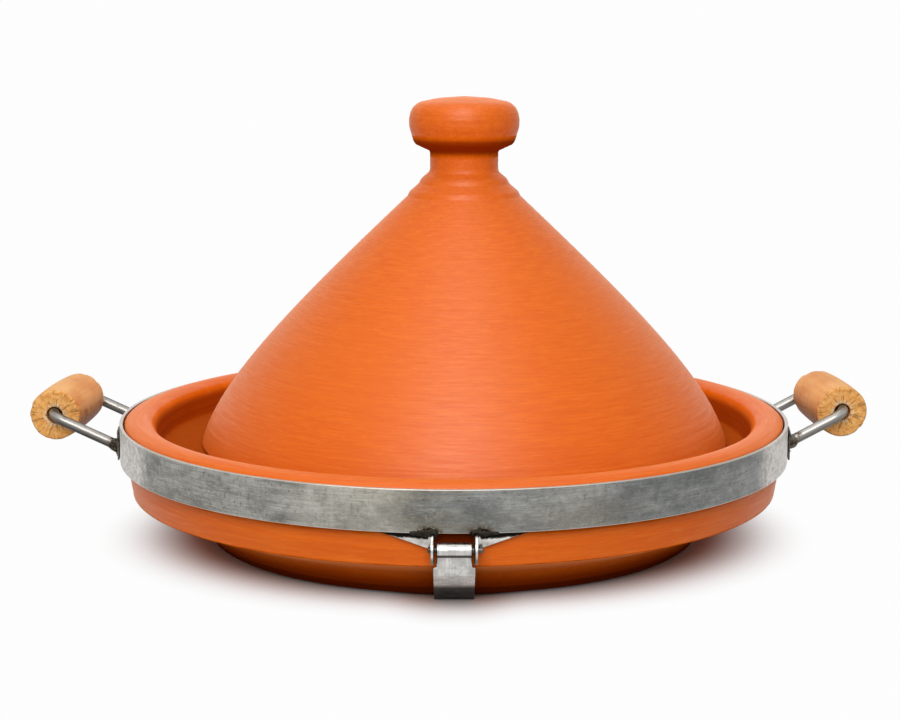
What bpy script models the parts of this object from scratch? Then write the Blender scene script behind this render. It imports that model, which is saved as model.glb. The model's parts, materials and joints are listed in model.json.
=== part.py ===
"""Tagine in a hinged steel carrier.

A terracotta dish with a conical lid stands in a flat steel hoop. The hoop has a wire handle
with a turned wooden grip at each side. Three strap clips hang from it on pins, between
pairs of lugs. Each clip runs down and in under the dish, whose base stands on their toes.

Lengths are in metres, +Z is up and the front faces -Y. The origin is on the surface that
the tagine stands on, on the axis of the hoop.
"""
import math

import bmesh
import bpy
from mathutils import Matrix, Vector

MM = 0.001

# Clearance between pieces that touch on the real object
GAP = 0.3 * MM

# Lid: a thrown cone, then throwing steps, a neck and a knob
LID_RADIUS = 126.2 * MM
LID_WALL = 8 * MM
CEILING_RISE = 2 * MM
LID_SHIFT = 5 * MM
LID_FOOT_ROUND = 1.2 * MM
CONE_HEIGHT = 117.9 * MM
CONE_TOP_RADIUS = 26.8 * MM
CONE_LOW_LEAN = 7.2 * MM
CONE_LOW_RISE = 29.8 * MM
CONE_HIGH_SPREAD = 47.6 * MM
CONE_HIGH_FALL = 45 * MM
THROWING_STEPS = 2
STEP_HEIGHT = 5.9 * MM
STEP_RISER = 2.1 * MM
STEP_LEAN = 1 * MM
NECK_RADIUS = 16.1 * MM
NECK_LENGTH = 9.6 * MM
NECK_ROUND = 3 * MM
KNOB_RADIUS = 26.5 * MM
KNOB_LOW_RADIUS = 23.6 * MM
KNOB_TOP_RADIUS = 24.6 * MM
KNOB_UNDERCUT = 3.4 * MM
KNOB_SWELL = 9.6 * MM
KNOB_FALL = 9.2 * MM
KNOB_CROWN = 3.4 * MM
KNOB_LOW_ROUND = 4 * MM
KNOB_SIDE_ROUND = 14 * MM
KNOB_TOP_ROUND = 8 * MM
KNOB_DOME_ROUND = 30 * MM

# Dish: foot, hollow flare, ridge, wall, collar, rim, and a ledge inside for the lid
DISH_HEIGHT = 58.4 * MM
DISH_FLOOR = 9.1 * MM
FOOT_RADIUS = 117.2 * MM
FOOT_ROUND = 1.5 * MM
FLARE_RADIUS = 125 * MM
FLARE_HEIGHT = 11.8 * MM
FLARE_ROUND = 20 * MM
RIDGE_BELOW_PIN = 8.6 * MM
RIDGE_INSET = 1.3 * MM
RIDGE_ROUND = 0.8 * MM
WALL_TURN_RISE = 8 * MM
WALL_TURN_ROUND = 24 * MM
COLLAR_STEP = 2 * MM
COLLAR_ABOVE_LUG = 1 * MM
RIM_ROUND = 9 * MM
RIM_EDGE_ANGLE = math.radians(45)
LEDGE_DEPTH = 15.2 * MM
LEDGE_SLOPE = math.radians(78)
LEDGE_MARGIN = 1 * MM
LEDGE_ROUND = 1.5 * MM
LID_PLAY = 14.45 * MM
BOWL_ROUND = 22 * MM

# Hoop: flat bar bent to a ring, with its ends welded at the rear
BAND_HEIGHT = 18.2 * MM
BAND_THICKNESS = 1.6 * MM
BAND_BELOW_RIM = 2.2 * MM
BAND_PLAY = 0.9 * MM
SEAM_WIDTH = 5 * MM
SEAM_PROUD = 1.2 * MM
SEAM_MARGIN = 0.4 * MM

# Handles: bent wire, each end welded to a small plate on the hoop
ROD_RADIUS = 2.5 * MM
ROD_BEND = 6 * MM
HANDLE_HALF_WIDTH = 30 * MM
HANDLE_TURN = math.radians(4)
RIGHT_REACH = 25.4 * MM
RIGHT_WELD_DROP = 10.5 * MM
RIGHT_RISE = 14 * MM
LEFT_REACH = 30.5 * MM
LEFT_WELD_DROP = 12.4 * MM
LEFT_RISE = 14.3 * MM
PAD_WIDTH = 12 * MM
PAD_HEIGHT = 14 * MM
PAD_THICKNESS = 0.9 * MM
WELD_RADIUS = 5 * MM
WELD_REACH = 4 * MM
WELD_LIP = 0.6 * MM

# Grips: wooden rollers that turn on the wire
GRIP_LENGTH = 47 * MM
GRIP_RADIUS = 12.7 * MM
GRIP_END_RADIUS = 12.1 * MM
GRIP_EDGE = 0.8 * MM
GRIP_BORE = 4 * MM

# Lugs: pairs of bent strips inside the hoop, whose ears carry the pins
LUG_THICKNESS = 1.4 * MM
LUG_BEND = 1.1 * MM
WING_REACH = 31 * MM
WING_LAP = 4.6 * MM
WING_TIP_DROP = 0.4 * MM
WING_ROOT_ABOVE_PIN = 0.3 * MM
EAR_PLAY = 0.9 * MM
EAR_NOSE = 6 * MM
EAR_SHOULDER = 1.6 * MM
EAR_SLOPE_END = math.radians(35)
BLOB_OUTWARD = 0.9 * MM
BLOB_RISE = 1 * MM
BLOB_ASIDE = 1.5 * MM
BLOB_HALF_WIDTH = 4.3 * MM
BLOB_HALF_DEPTH = 1.6 * MM
BLOB_HALF_HEIGHT = 2.4 * MM

# Pins: rivets that stand a little proud of the ears, more at the right
PIN_RADIUS = 1.3 * MM
PIN_BELOW_BAND = 6.7 * MM
PIN_PROUD_LEFT = 1.4 * MM
PIN_PROUD_RIGHT = 2.4 * MM
PIN_EDGE = 0.4 * MM

# Clips: strap rolled round the pin and lapped, then bent in under the dish
CLIP_THICKNESS = 1.4 * MM
CLIP_WIDTH = 17.1 * MM
EYE_WIDTH = 14.3 * MM
LAP_ANGLE = math.radians(70)
SHOULDER_LENGTH = 0.4 * MM
STRAP_RUN = 0.7 * MM
KNEE_ROUND = 3.2 * MM
RIDGE_CLEARANCE = 2.7 * MM
TOE_CLEARANCE = 2.5 * MM
TOE_ROUND = 5 * MM
TOE_REACH = 29 * MM
TOE_TIP_LENGTH = 3 * MM
TOE_TIP_INSET = 2.5 * MM

# Directions of the clips round the hoop, as turns from the front
CLIP_TURNS = {
    "front": 0,
    "rear_right": math.radians(120),
    "rear_left": math.radians(-120),
}

# Facets round the round pieces, and steps along curves and bends
RING_STEPS = 64
LID_STEPS = 48
CONE_STEPS = 8
GRIP_STEPS = 24
BARREL_STEPS = 3
ROD_RESOLUTION = 4
PIN_STEPS = 16
HOLE_STEPS = 16
EYE_STEPS = 9
WING_STEPS = 3
BEND_STEPS = 3
NOSE_STEPS = 4
ARC_STEPS = 4
SMOOTH_ANGLE = math.radians(35)
MERGE_DISTANCE = 0.001 * MM

# Heights that follow from the stack of pieces, from the table up
DISH_BASE = CLIP_THICKNESS + GAP
DISH_TOP = DISH_BASE + DISH_HEIGHT
BAND_TOP = DISH_TOP - BAND_BELOW_RIM
BAND_BOTTOM = BAND_TOP - BAND_HEIGHT
PIN_Z = BAND_BOTTOM - PIN_BELOW_BAND
RIDGE_Z = PIN_Z - RIDGE_BELOW_PIN
LEDGE_Z = DISH_TOP - LEDGE_DEPTH
LID_BASE = LEDGE_Z + GAP
WING_TOP = BAND_BOTTOM + WING_LAP

# Radii that follow from the lid outwards
LEDGE_RADIUS = LID_RADIUS + LID_PLAY
SLOPE_RISE = LEDGE_DEPTH - RIM_ROUND * (1 - math.cos(LEDGE_SLOPE))
RIM_MIDDLE = LEDGE_RADIUS + SLOPE_RISE / math.tan(LEDGE_SLOPE) + RIM_ROUND * math.sin(LEDGE_SLOPE)
COLLAR_RADIUS = RIM_MIDDLE + RIM_ROUND * math.cos(RIM_EDGE_ANGLE)
WALL_RADIUS = COLLAR_RADIUS - COLLAR_STEP
RIDGE_RADIUS = WALL_RADIUS - RIDGE_INSET
BAND_INSIDE = COLLAR_RADIUS + BAND_PLAY
BAND_RADIUS = BAND_INSIDE + BAND_THICKNESS
PIN_DISTANCE = BAND_RADIUS

# Fits between lugs, pins and clips
HOLE_RADIUS = PIN_RADIUS + GAP
EYE_RADIUS = PIN_RADIUS + GAP + CLIP_THICKNESS / 2
EAR_MIDDLE = EYE_WIDTH / 2 + EAR_PLAY + LUG_THICKNESS / 2
WING_RADIUS = BAND_INSIDE * math.cos(math.pi / RING_STEPS) - GAP - LUG_THICKNESS / 2


def finish(name, colour, roughness, metallic):
    """A material of one colour."""
    material = bpy.data.materials.new(name)
    material.use_nodes = True
    material.diffuse_color = (*colour, 1)
    shader = material.node_tree.nodes["Principled BSDF"]
    shader.inputs["Base Color"].default_value = (*colour, 1)
    shader.inputs["Roughness"].default_value = roughness
    shader.inputs["Metallic"].default_value = metallic
    return material


def add_object(name, data, material, location=(0, 0, 0), rotation=(0, 0, 0)):
    """Put a mesh or a curve in the scene as a named piece."""
    data.name = name
    data.materials.clear()
    data.materials.append(material)
    piece = bpy.data.objects.new(name, data)
    piece.location = location
    piece.rotation_euler = rotation
    bpy.context.collection.objects.link(piece)


def to_mesh(bm):
    """Close a bmesh into a mesh that is smooth apart from its sharp edges."""
    bmesh.ops.recalc_face_normals(bm, faces=bm.faces)
    mesh = bpy.data.meshes.new("shape")
    bm.to_mesh(mesh)
    bm.free()
    mesh.shade_smooth()
    mesh.set_sharp_from_angle(angle=SMOOTH_ANGLE)
    return mesh


def boolean(body, tool, operation):
    """Join a tool mesh to a body mesh, or cut it away."""
    body_object = bpy.data.objects.new("body", body)
    tool_object = bpy.data.objects.new("tool", tool)
    bpy.context.collection.objects.link(body_object)
    bpy.context.collection.objects.link(tool_object)
    modifier = body_object.modifiers.new("boolean", "BOOLEAN")
    modifier.operation = operation
    modifier.solver = "EXACT"
    modifier.object = tool_object
    bpy.context.view_layer.update()
    evaluated = body_object.evaluated_get(bpy.context.evaluated_depsgraph_get())
    result = bpy.data.meshes.new_from_object(evaluated)
    bpy.data.objects.remove(body_object)
    bpy.data.objects.remove(tool_object)
    result.shade_smooth()
    result.set_sharp_from_angle(angle=SMOOTH_ANGLE)
    return result


def turned(outline, steps, closed):
    """Spin an outline of (radius, height) points round the Z axis."""
    bm = bmesh.new()
    verts = [bm.verts.new((radius, 0, height)) for radius, height in outline]
    ends = verts[1:] + verts[:1] if closed else verts[1:]
    edges = [bm.edges.new(pair) for pair in zip(verts, ends)]
    bmesh.ops.spin(
        bm, geom=verts + edges, cent=(0, 0, 0), axis=(0, 0, 1),
        angle=math.tau, steps=steps, use_merge=True,
    )
    bmesh.ops.remove_doubles(bm, verts=bm.verts, dist=MERGE_DISTANCE)
    return to_mesh(bm)


def arc(centre, radius, start, end, steps):
    """Points on an arc, both ends included."""
    angles = [start + (end - start) * step / steps for step in range(steps + 1)]
    return [
        (centre[0] + radius * math.cos(angle), centre[1] + radius * math.sin(angle))
        for angle in angles
    ]


def rounded(corners, steps=ARC_STEPS):
    """Points of a path whose inner corners are bent.

    Each corner is (point, radius). A bend is the polygon that is drawn round its arc, so
    that a bar or a tube along the path keeps its clearance inside the bend.
    """
    points = [Vector(corners[0][0])]
    for (before, _), (corner, radius), (after, _) in zip(corners, corners[1:], corners[2:]):
        corner = Vector(corner)
        if radius == 0:
            points.append(corner)
            continue
        arriving = (corner - Vector(before)).normalized()
        leaving = (Vector(after) - corner).normalized()
        turn = arriving.angle(leaving)
        inward = (leaving - arriving).normalized()
        centre = corner + inward * radius / math.cos(turn / 2)
        start = corner - arriving * radius * math.tan(turn / 2)
        outward = (start - centre).normalized()
        reach = radius / math.cos(turn / steps / 2)
        for step in range(steps):
            angle = turn * (step + 0.5) / steps
            points.append(centre + (outward * math.cos(angle) + arriving * math.sin(angle)) * reach)
    points.append(Vector(corners[-1][0]))
    return points


def bent_strip(path, thickness, place):
    """A flat bar that follows a path and keeps its thickness at each bend.

    A path point is (a, b, low, high): a place in the plane of the bends, and the two edges of
    the bar across that plane. place(a, b, across) turns them into a point of the mesh.
    """
    points = [Vector((a, b)) for a, b, _, _ in path]
    runs = [(end - start).normalized() for start, end in zip(points, points[1:])]
    bm = bmesh.new()
    sections = []
    for index, (point, (_, _, low, high)) in enumerate(zip(points, path)):
        before = runs[max(index - 1, 0)]
        after = runs[min(index, len(runs) - 1)]
        along = (before + after).normalized()
        side = Vector((-along.y, along.x)) * (thickness / 2 / along.dot(before))
        left = point + side
        right = point - side
        sections.append([
            bm.verts.new(place(left.x, left.y, low)),
            bm.verts.new(place(left.x, left.y, high)),
            bm.verts.new(place(right.x, right.y, high)),
            bm.verts.new(place(right.x, right.y, low)),
        ])
    for near, far in zip(sections, sections[1:]):
        for side in range(4):
            following = (side + 1) % 4
            bm.faces.new((near[side], near[following], far[following], far[side]))
    bm.faces.new(sections[0])
    bm.faces.new(sections[-1])
    return to_mesh(bm)


def cylinder(radius, start, end, direction):
    """A round bar between two distances along a direction from the origin."""
    bm = bmesh.new()
    turn = Vector((0, 0, 1)).rotation_difference(direction).to_matrix().to_4x4()
    middle = Matrix.Translation(direction * (start + end) / 2)
    bmesh.ops.create_cone(
        bm, cap_ends=True, segments=HOLE_STEPS, radius1=radius, radius2=radius,
        depth=end - start, matrix=middle @ turn,
    )
    return to_mesh(bm)


def ellipsoid(centre, half_sizes):
    """A rounded lump of weld."""
    bm = bmesh.new()
    place = Matrix.Translation(centre) @ Matrix.Diagonal((*half_sizes, 1))
    bmesh.ops.create_uvsphere(bm, u_segments=12, v_segments=6, radius=1, matrix=place)
    return to_mesh(bm)


def about_z(angle, point):
    """A point turned round the Z axis."""
    return Matrix.Rotation(angle, 3, "Z") @ Vector(point)


def cone_point(share):
    """A point of the lid's cone and its outward normal, from its foot to its top."""
    foot = Vector((LID_RADIUS, LID_FOOT_ROUND))
    low = Vector((LID_RADIUS - CONE_LOW_LEAN, CONE_LOW_RISE))
    high = Vector((CONE_TOP_RADIUS + CONE_HIGH_SPREAD, CONE_HEIGHT - CONE_HIGH_FALL))
    top = Vector((CONE_TOP_RADIUS, CONE_HEIGHT))
    rest = 1 - share
    point = foot * rest ** 3 + low * 3 * rest ** 2 * share + high * 3 * rest * share ** 2 + top * share ** 3
    slope = (low - foot) * rest ** 2 + (high - low) * 2 * rest * share + (top - high) * share ** 2
    return point, Vector((slope.y, -slope.x)).normalized()


def lid_top_corners():
    """Corners of the throwing steps, the neck and the knob, from the cone's top to the axis."""
    step_depth = (CONE_TOP_RADIUS - NECK_RADIUS) / THROWING_STEPS
    corners = []
    for step in range(THROWING_STEPS):
        radius = CONE_TOP_RADIUS - step * step_depth
        height = CONE_HEIGHT + step * STEP_HEIGHT
        corners.append(((radius, height), 0))
        corners.append(((radius - STEP_LEAN, height + STEP_RISER), STEP_LEAN))
    neck_foot = CONE_HEIGHT + THROWING_STEPS * STEP_HEIGHT
    neck_top = neck_foot + NECK_LENGTH
    knob_low = neck_top + KNOB_UNDERCUT
    knob_middle = knob_low + KNOB_SWELL
    knob_top = knob_middle + KNOB_FALL
    return corners + [
        ((NECK_RADIUS, neck_foot), NECK_ROUND),
        ((NECK_RADIUS, neck_top), STEP_LEAN),
        ((KNOB_LOW_RADIUS, knob_low), KNOB_LOW_ROUND),
        ((KNOB_RADIUS, knob_middle), KNOB_SIDE_ROUND),
        ((KNOB_TOP_RADIUS, knob_top), KNOB_TOP_ROUND),
        ((KNOB_TOP_RADIUS / 2, knob_top + KNOB_CROWN * 3 / 4), KNOB_DOME_ROUND),
        ((0, knob_top + KNOB_CROWN), 0),
    ]


def build_lid():
    """The lid, from the top of its inside down, round its foot and up the outside."""
    shares = [step / CONE_STEPS for step in range(CONE_STEPS + 1)]
    inside = []
    for share in reversed(shares[1:]):
        point, outward = cone_point(share)
        inside.append(point - outward * LID_WALL)
    ceiling = (0, inside[0].y + CEILING_RISE)
    foot = [(LID_RADIUS - LID_WALL, 0), (LID_RADIUS - LID_FOOT_ROUND, 0)]
    cone = [cone_point(share)[0] for share in shares[:-1]]
    outline = [ceiling] + inside + foot + cone + rounded(lid_top_corners(), 3)
    mesh = turned(outline, LID_STEPS, closed=False)
    terracotta = finish("lid_terracotta", (0.76, 0.21, 0.055), 0.75, 0)
    add_object("lid", mesh, terracotta, (LID_SHIFT, 0, LID_BASE))


def build_dish():
    """The dish, from the middle of its base out, over the rim and into the bowl."""
    collar_foot = WING_TOP + COLLAR_ABOVE_LUG - DISH_BASE
    outside = rounded([
        ((0, 0), 0),
        ((FOOT_RADIUS, 0), FOOT_ROUND),
        ((FLARE_RADIUS, FLARE_HEIGHT), FLARE_ROUND),
        ((RIDGE_RADIUS, RIDGE_Z - DISH_BASE), RIDGE_ROUND),
        ((WALL_RADIUS, RIDGE_Z + WALL_TURN_RISE - DISH_BASE), WALL_TURN_ROUND),
        ((WALL_RADIUS, collar_foot), 0),
        ((COLLAR_RADIUS, collar_foot + COLLAR_STEP), 0),
    ], 3)
    rim_centre = (RIM_MIDDLE, DISH_HEIGHT - RIM_ROUND)
    rim = arc(rim_centre, RIM_ROUND, RIM_EDGE_ANGLE, math.pi / 2 + LEDGE_SLOPE, 5)
    ledge_height = LEDGE_Z - DISH_BASE
    ledge_end = LID_RADIUS - LID_WALL - LEDGE_MARGIN
    inside = rounded([
        (rim[-1], 0),
        ((LEDGE_RADIUS, ledge_height), LEDGE_ROUND),
        ((ledge_end, ledge_height), LEDGE_ROUND),
        ((ledge_end, DISH_FLOOR), BOWL_ROUND),
        ((0, DISH_FLOOR), 0),
    ], 3)
    mesh = turned(outside + rim + inside[1:], RING_STEPS, closed=False)
    terracotta = finish("dish_terracotta", (0.60, 0.16, 0.04), 0.8, 0)
    add_object("dish", mesh, terracotta, (0, 0, DISH_BASE))


def build_band():
    """The hoop, with the bead of weld where its ends meet at the rear."""
    half_height = BAND_HEIGHT / 2
    ring = turned([
        (BAND_INSIDE, -half_height),
        (BAND_RADIUS, -half_height),
        (BAND_RADIUS, half_height),
        (BAND_INSIDE, half_height),
    ], RING_STEPS, closed=True)
    bead = ellipsoid((0, BAND_RADIUS, 0), (SEAM_WIDTH / 2, SEAM_PROUD, half_height - SEAM_MARGIN))
    steel = finish("band_steel", (0.42, 0.41, 0.39), 0.45, 1)
    add_object("rim_band", boolean(ring, bead, "UNION"), steel, (0, 0, BAND_BOTTOM + half_height))


def pad_mesh(leg, wire_start, drop):
    """A plate on the hoop with a cone of weld round the wire, bored for the wire.

    X points away from the hoop. The origin is on the plate's outer face, where the middle of
    the wire would meet it. leg is the wire's direction there, and drop is how far the middle of
    the plate lies below the origin.
    """
    bm = bmesh.new()
    middle = Matrix.Translation((-PAD_THICKNESS / 2, 0, -drop))
    size = Matrix.Diagonal((PAD_THICKNESS, PAD_WIDTH, PAD_HEIGHT, 1))
    bmesh.ops.create_cube(bm, size=1, matrix=middle @ size)
    plate = to_mesh(bm)

    bm = bmesh.new()
    foot_place = Matrix.Translation((-PAD_THICKNESS / 2, 0, 0)) @ Matrix.Rotation(math.pi / 2, 4, "Y")
    lean = Vector((0, 0, 1)).rotation_difference(leg).to_matrix().to_4x4()
    tip_place = Matrix.Translation(leg * WELD_REACH) @ lean
    tip_radius = ROD_RADIUS + GAP + WELD_LIP
    rims = []
    for radius, place in ((WELD_RADIUS, foot_place), (tip_radius, tip_place)):
        ring = bmesh.ops.create_circle(
            bm, cap_ends=True, segments=HOLE_STEPS, radius=radius, matrix=place,
        )
        rims += {edge for vert in ring["verts"] for edge in vert.link_edges}
    bmesh.ops.bridge_loops(bm, edges=rims)
    weld = to_mesh(bm)

    bore = cylinder(ROD_RADIUS + GAP, wire_start - GAP, WELD_REACH * 2, leg)
    return boolean(boolean(plate, weld, "UNION"), bore, "DIFFERENCE")


def grip_mesh():
    """A barrel-shaped roller along Z, with a bore right through."""
    half = GRIP_LENGTH / 2
    swell = GRIP_RADIUS - GRIP_END_RADIUS
    edge = 1 - GRIP_EDGE / half
    places = [edge * step / BARREL_STEPS for step in range(-BARREL_STEPS, BARREL_STEPS + 1)]
    barrel = [(GRIP_RADIUS - swell * place ** 2, place * half) for place in places]
    face = GRIP_END_RADIUS - GRIP_EDGE
    ends = [(face, half), (GRIP_BORE, half), (GRIP_BORE, -half), (face, -half)]
    return turned(barrel + ends, GRIP_STEPS, closed=True)


def build_handle(side, turn, reach, weld_drop, rise, steel, weld_steel, wood):
    """One wire handle with its pads and its grip. It points along +X before its turn."""
    face = BAND_RADIUS + GAP + PAD_THICKNESS
    aside = math.asin(HANDLE_HALF_WIDTH / face)
    weld = about_z(aside, (face, 0, BAND_TOP - weld_drop))
    corner = Vector((BAND_RADIUS + reach, HANDLE_HALF_WIDTH, weld.z + rise))
    leg = (corner - weld).normalized()
    lean = leg.angle(about_z(aside, (1, 0, 0)))
    wire_start = (GAP + ROD_RADIUS * math.sin(lean)) / math.cos(lean)
    start = weld + leg * wire_start
    across = Matrix.Diagonal((1, -1, 1))

    wire = bpy.data.curves.new("wire", "CURVE")
    wire.dimensions = "3D"
    points = rounded([
        (start, 0), (corner, ROD_BEND), (across @ corner, ROD_BEND), (across @ start, 0),
    ])
    spline = wire.splines.new("POLY")
    spline.points.add(len(points) - 1)
    for knot, point in zip(spline.points, points):
        knot.co = (*point, 1)
    wire.bevel_depth = ROD_RADIUS
    wire.bevel_resolution = ROD_RESOLUTION
    wire.use_fill_caps = True
    add_object(side + "_handle_rod", wire, steel, (0, 0, 0), (0, 0, turn))

    for end in (-1, 1):
        direction = turn + end * aside
        place = about_z(direction, (face, 0, weld.z))
        drop = weld.z - BAND_BOTTOM - PAD_HEIGHT / 2
        mesh = pad_mesh(about_z(-end * aside, leg), wire_start, drop)
        where = "front" if place.y < 0 else "rear"
        add_object(side + "_" + where + "_handle_pad", mesh, weld_steel, place, (0, 0, direction))

    sag = GRIP_BORE - ROD_RADIUS - GAP
    middle = about_z(turn, (corner.x, 0, corner.z - sag))
    add_object(side + "_grip", grip_mesh(), wood, middle, (-math.pi / 2, 0, turn))


def build_handles():
    steel = finish("rod_steel", (0.50, 0.49, 0.47), 0.3, 1)
    weld_steel = finish("weld_steel", (0.10, 0.09, 0.08), 0.6, 1)
    wood = finish("grip_wood", (0.68, 0.38, 0.16), 0.6, 0)
    build_handle(
        "right", HANDLE_TURN, RIGHT_REACH, RIGHT_WELD_DROP, RIGHT_RISE, steel, weld_steel, wood,
    )
    build_handle(
        "left", math.pi - HANDLE_TURN, LEFT_REACH, LEFT_WELD_DROP, LEFT_RISE, steel, weld_steel, wood,
    )


def lug_path():
    """The lug's path from its wing's tip to its ear's nose, as seen from above.

    A place is (aside, outward) from the middle of the pin. The edges are heights from there.
    """
    wing_low = BAND_BOTTOM - WING_TIP_DROP - PIN_Z
    wing_high = WING_TOP - PIN_Z
    ear_high = BAND_BOTTOM - GAP - PIN_Z
    root = EAR_MIDDLE + LUG_BEND + LUG_THICKNESS
    path = []
    for step in range(WING_STEPS + 1):
        share = step / WING_STEPS
        aside = WING_REACH + (root - WING_REACH) * share
        outward = math.sqrt(WING_RADIUS ** 2 - aside ** 2) - PIN_DISTANCE
        low = wing_low + (WING_ROOT_ABOVE_PIN - wing_low) * share
        path.append((aside, outward, low, wing_high))

    fold = (EAR_MIDDLE, math.sqrt(WING_RADIUS ** 2 - EAR_MIDDLE ** 2) - PIN_DISTANCE)
    bend = rounded([(path[-1][:2], 0), (fold, LUG_BEND), ((EAR_MIDDLE, EAR_NOSE), 0)], BEND_STEPS)
    for step, point in enumerate(bend[1:-1]):
        share = (step + 1) / BEND_STEPS
        low = WING_ROOT_ABOVE_PIN - (EAR_NOSE + WING_ROOT_ABOVE_PIN) * share
        path.append((point.x, point.y, low, ear_high))

    slope_start = EAR_SHOULDER
    slope_end = EAR_NOSE * math.cos(EAR_SLOPE_END)
    slope_fall = (ear_high - EAR_NOSE * math.sin(EAR_SLOPE_END)) / (slope_end - slope_start)
    for outward in (0, slope_start, (slope_start + slope_end) / 2):
        low = -math.sqrt(EAR_NOSE ** 2 - outward ** 2)
        high = ear_high - slope_fall * max(outward - slope_start, 0)
        path.append((EAR_MIDDLE, outward, low, high))
    for step in range(NOSE_STEPS):
        angle = EAR_SLOPE_END * (1 - step / NOSE_STEPS)
        half = EAR_NOSE * math.sin(angle)
        path.append((EAR_MIDDLE, EAR_NOSE * math.cos(angle), -half, half))
    return path


def lug_mesh(side):
    """A lug with the lump of weld that holds it to the hoop. side is 1 for right, -1 for left."""
    strip = bent_strip(lug_path(), LUG_THICKNESS, lambda a, b, across: (side * a, -b, across))
    lump_place = (side * (EAR_MIDDLE + BLOB_ASIDE), -BLOB_OUTWARD, BAND_BOTTOM + BLOB_RISE - PIN_Z)
    lump = ellipsoid(lump_place, (BLOB_HALF_WIDTH, BLOB_HALF_DEPTH, BLOB_HALF_HEIGHT))
    hoop_low = BAND_BOTTOM - GAP - PIN_Z
    hoop_outside = (BAND_RADIUS + GAP) / math.cos(math.pi / RING_STEPS)
    hoop = turned([
        (BAND_INSIDE, hoop_low),
        (hoop_outside, hoop_low),
        (hoop_outside, hoop_low + BAND_HEIGHT),
        (BAND_INSIDE, hoop_low + BAND_HEIGHT),
    ], RING_STEPS, closed=True)
    hoop.transform(Matrix.Translation((0, PIN_DISTANCE, 0)))
    lump = boolean(lump, hoop, "DIFFERENCE")
    ear = EAR_MIDDLE - LUG_THICKNESS, EAR_MIDDLE + LUG_THICKNESS
    hole = cylinder(HOLE_RADIUS, *ear, Vector((side, 0, 0)))
    return boolean(boolean(strip, lump, "UNION"), hole, "DIFFERENCE")


def pin_mesh():
    """A round pin along Z, with its edges broken."""
    ear_face = EAR_MIDDLE + LUG_THICKNESS / 2
    start = -ear_face - PIN_PROUD_LEFT
    end = ear_face + PIN_PROUD_RIGHT
    return turned([
        (0, start),
        (PIN_RADIUS - PIN_EDGE, start),
        (PIN_RADIUS, start + PIN_EDGE),
        (PIN_RADIUS, end - PIN_EDGE),
        (PIN_RADIUS - PIN_EDGE, end),
        (0, end),
    ], PIN_STEPS, closed=False)


def clip_path():
    """The clip's path from its lap, round the pin, down and in to its toe, as seen from a side.

    A place is (outward, up) from the middle of the pin. The edges are distances across.
    """
    strap = -EYE_RADIUS
    lap = strap + CLIP_THICKNESS + GAP
    toe_level = CLIP_THICKNESS / 2 - PIN_Z
    heel = Vector((FOOT_RADIUS + TOE_CLEARANCE - PIN_DISTANCE, toe_level))
    ridge = Vector((RIDGE_RADIUS - PIN_DISTANCE, RIDGE_Z - PIN_Z)) - heel
    clearance = RIDGE_CLEARANCE + CLIP_THICKNESS / 2
    slope = math.atan2(ridge.y, ridge.x) - math.asin(clearance / ridge.length)
    knee = Vector((strap, heel.y + (strap - heel.x) * math.tan(slope)))
    knee_start = knee.y + KNEE_ROUND * math.tan((math.pi / 2 - slope) / 2)
    lap_end = knee_start + STRAP_RUN

    half_eye = EYE_WIDTH / 2
    half_strap = CLIP_WIDTH / 2
    half_tip = half_strap - TOE_TIP_INSET
    touch = EYE_RADIUS * math.cos(LAP_ANGLE)
    crease = -EYE_RADIUS * math.sin(LAP_ANGLE) - (touch - lap) / math.tan(LAP_ANGLE)
    eye = [(lap, lap_end), (lap, crease)]
    turn = (math.pi + LAP_ANGLE) / EYE_STEPS
    reach = EYE_RADIUS / math.cos(turn / 2)
    for step in range(EYE_STEPS):
        angle = turn * (step + 0.5) - LAP_ANGLE
        eye.append((reach * math.cos(angle), reach * math.sin(angle)))
    eye.append((strap, lap_end + SHOULDER_LENGTH))
    tip = FOOT_RADIUS - TOE_REACH - PIN_DISTANCE
    tip_start = (tip + TOE_TIP_LENGTH, toe_level)
    foot = rounded([((strap, lap_end), 0), (knee, KNEE_ROUND), (heel, TOE_ROUND), (tip_start, 0)], 3)
    path = [(outward, up, -half_eye, half_eye) for outward, up in eye]
    path += [(outward, up, -half_strap, half_strap) for outward, up in foot]
    return path + [(tip, toe_level, -half_tip, half_tip)]


def build_clips():
    """The three hinges round the hoop: two lugs, a pin and a clip each."""
    lug_steel = finish("lug_steel", (0.36, 0.35, 0.33), 0.45, 1)
    pin_steel = finish("pin_steel", (0.45, 0.44, 0.42), 0.35, 1)
    clip_steel = finish("clip_steel", (0.46, 0.45, 0.43), 0.4, 1)
    for name, turn in CLIP_TURNS.items():
        place = about_z(turn, (0, -PIN_DISTANCE, PIN_Z))
        add_object(name + "_lug_left", lug_mesh(-1), lug_steel, place, (0, 0, turn))
        add_object(name + "_lug_right", lug_mesh(1), lug_steel, place, (0, 0, turn))
        add_object(name + "_hinge_pin", pin_mesh(), pin_steel, place, (0, math.pi / 2, turn))
        strap = bent_strip(clip_path(), CLIP_THICKNESS, lambda a, b, across: (across, -a, b))
        add_object(name + "_clip", strap, clip_steel, place, (0, 0, turn))


def main():
    for item in list(bpy.data.objects):
        bpy.data.objects.remove(item)
    build_lid()
    build_dish()
    build_band()
    build_handles()
    build_clips()


main()
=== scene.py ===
"""Looks of the tagine: its detailed pieces, their finishes, the floor, the light and the camera.

Lengths are in metres, in the frame's axes: +Z is up and the front faces -Y. Each detailed piece
stands for a plain solid of the frame and moves with the same body.
"""
import json
from math import asin, atan2, ceil, cos, pi, radians, sin, sqrt, tan, tau

import bmesh
import bpy
import numpy as np
from mathutils import Matrix, Vector, noise


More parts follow.
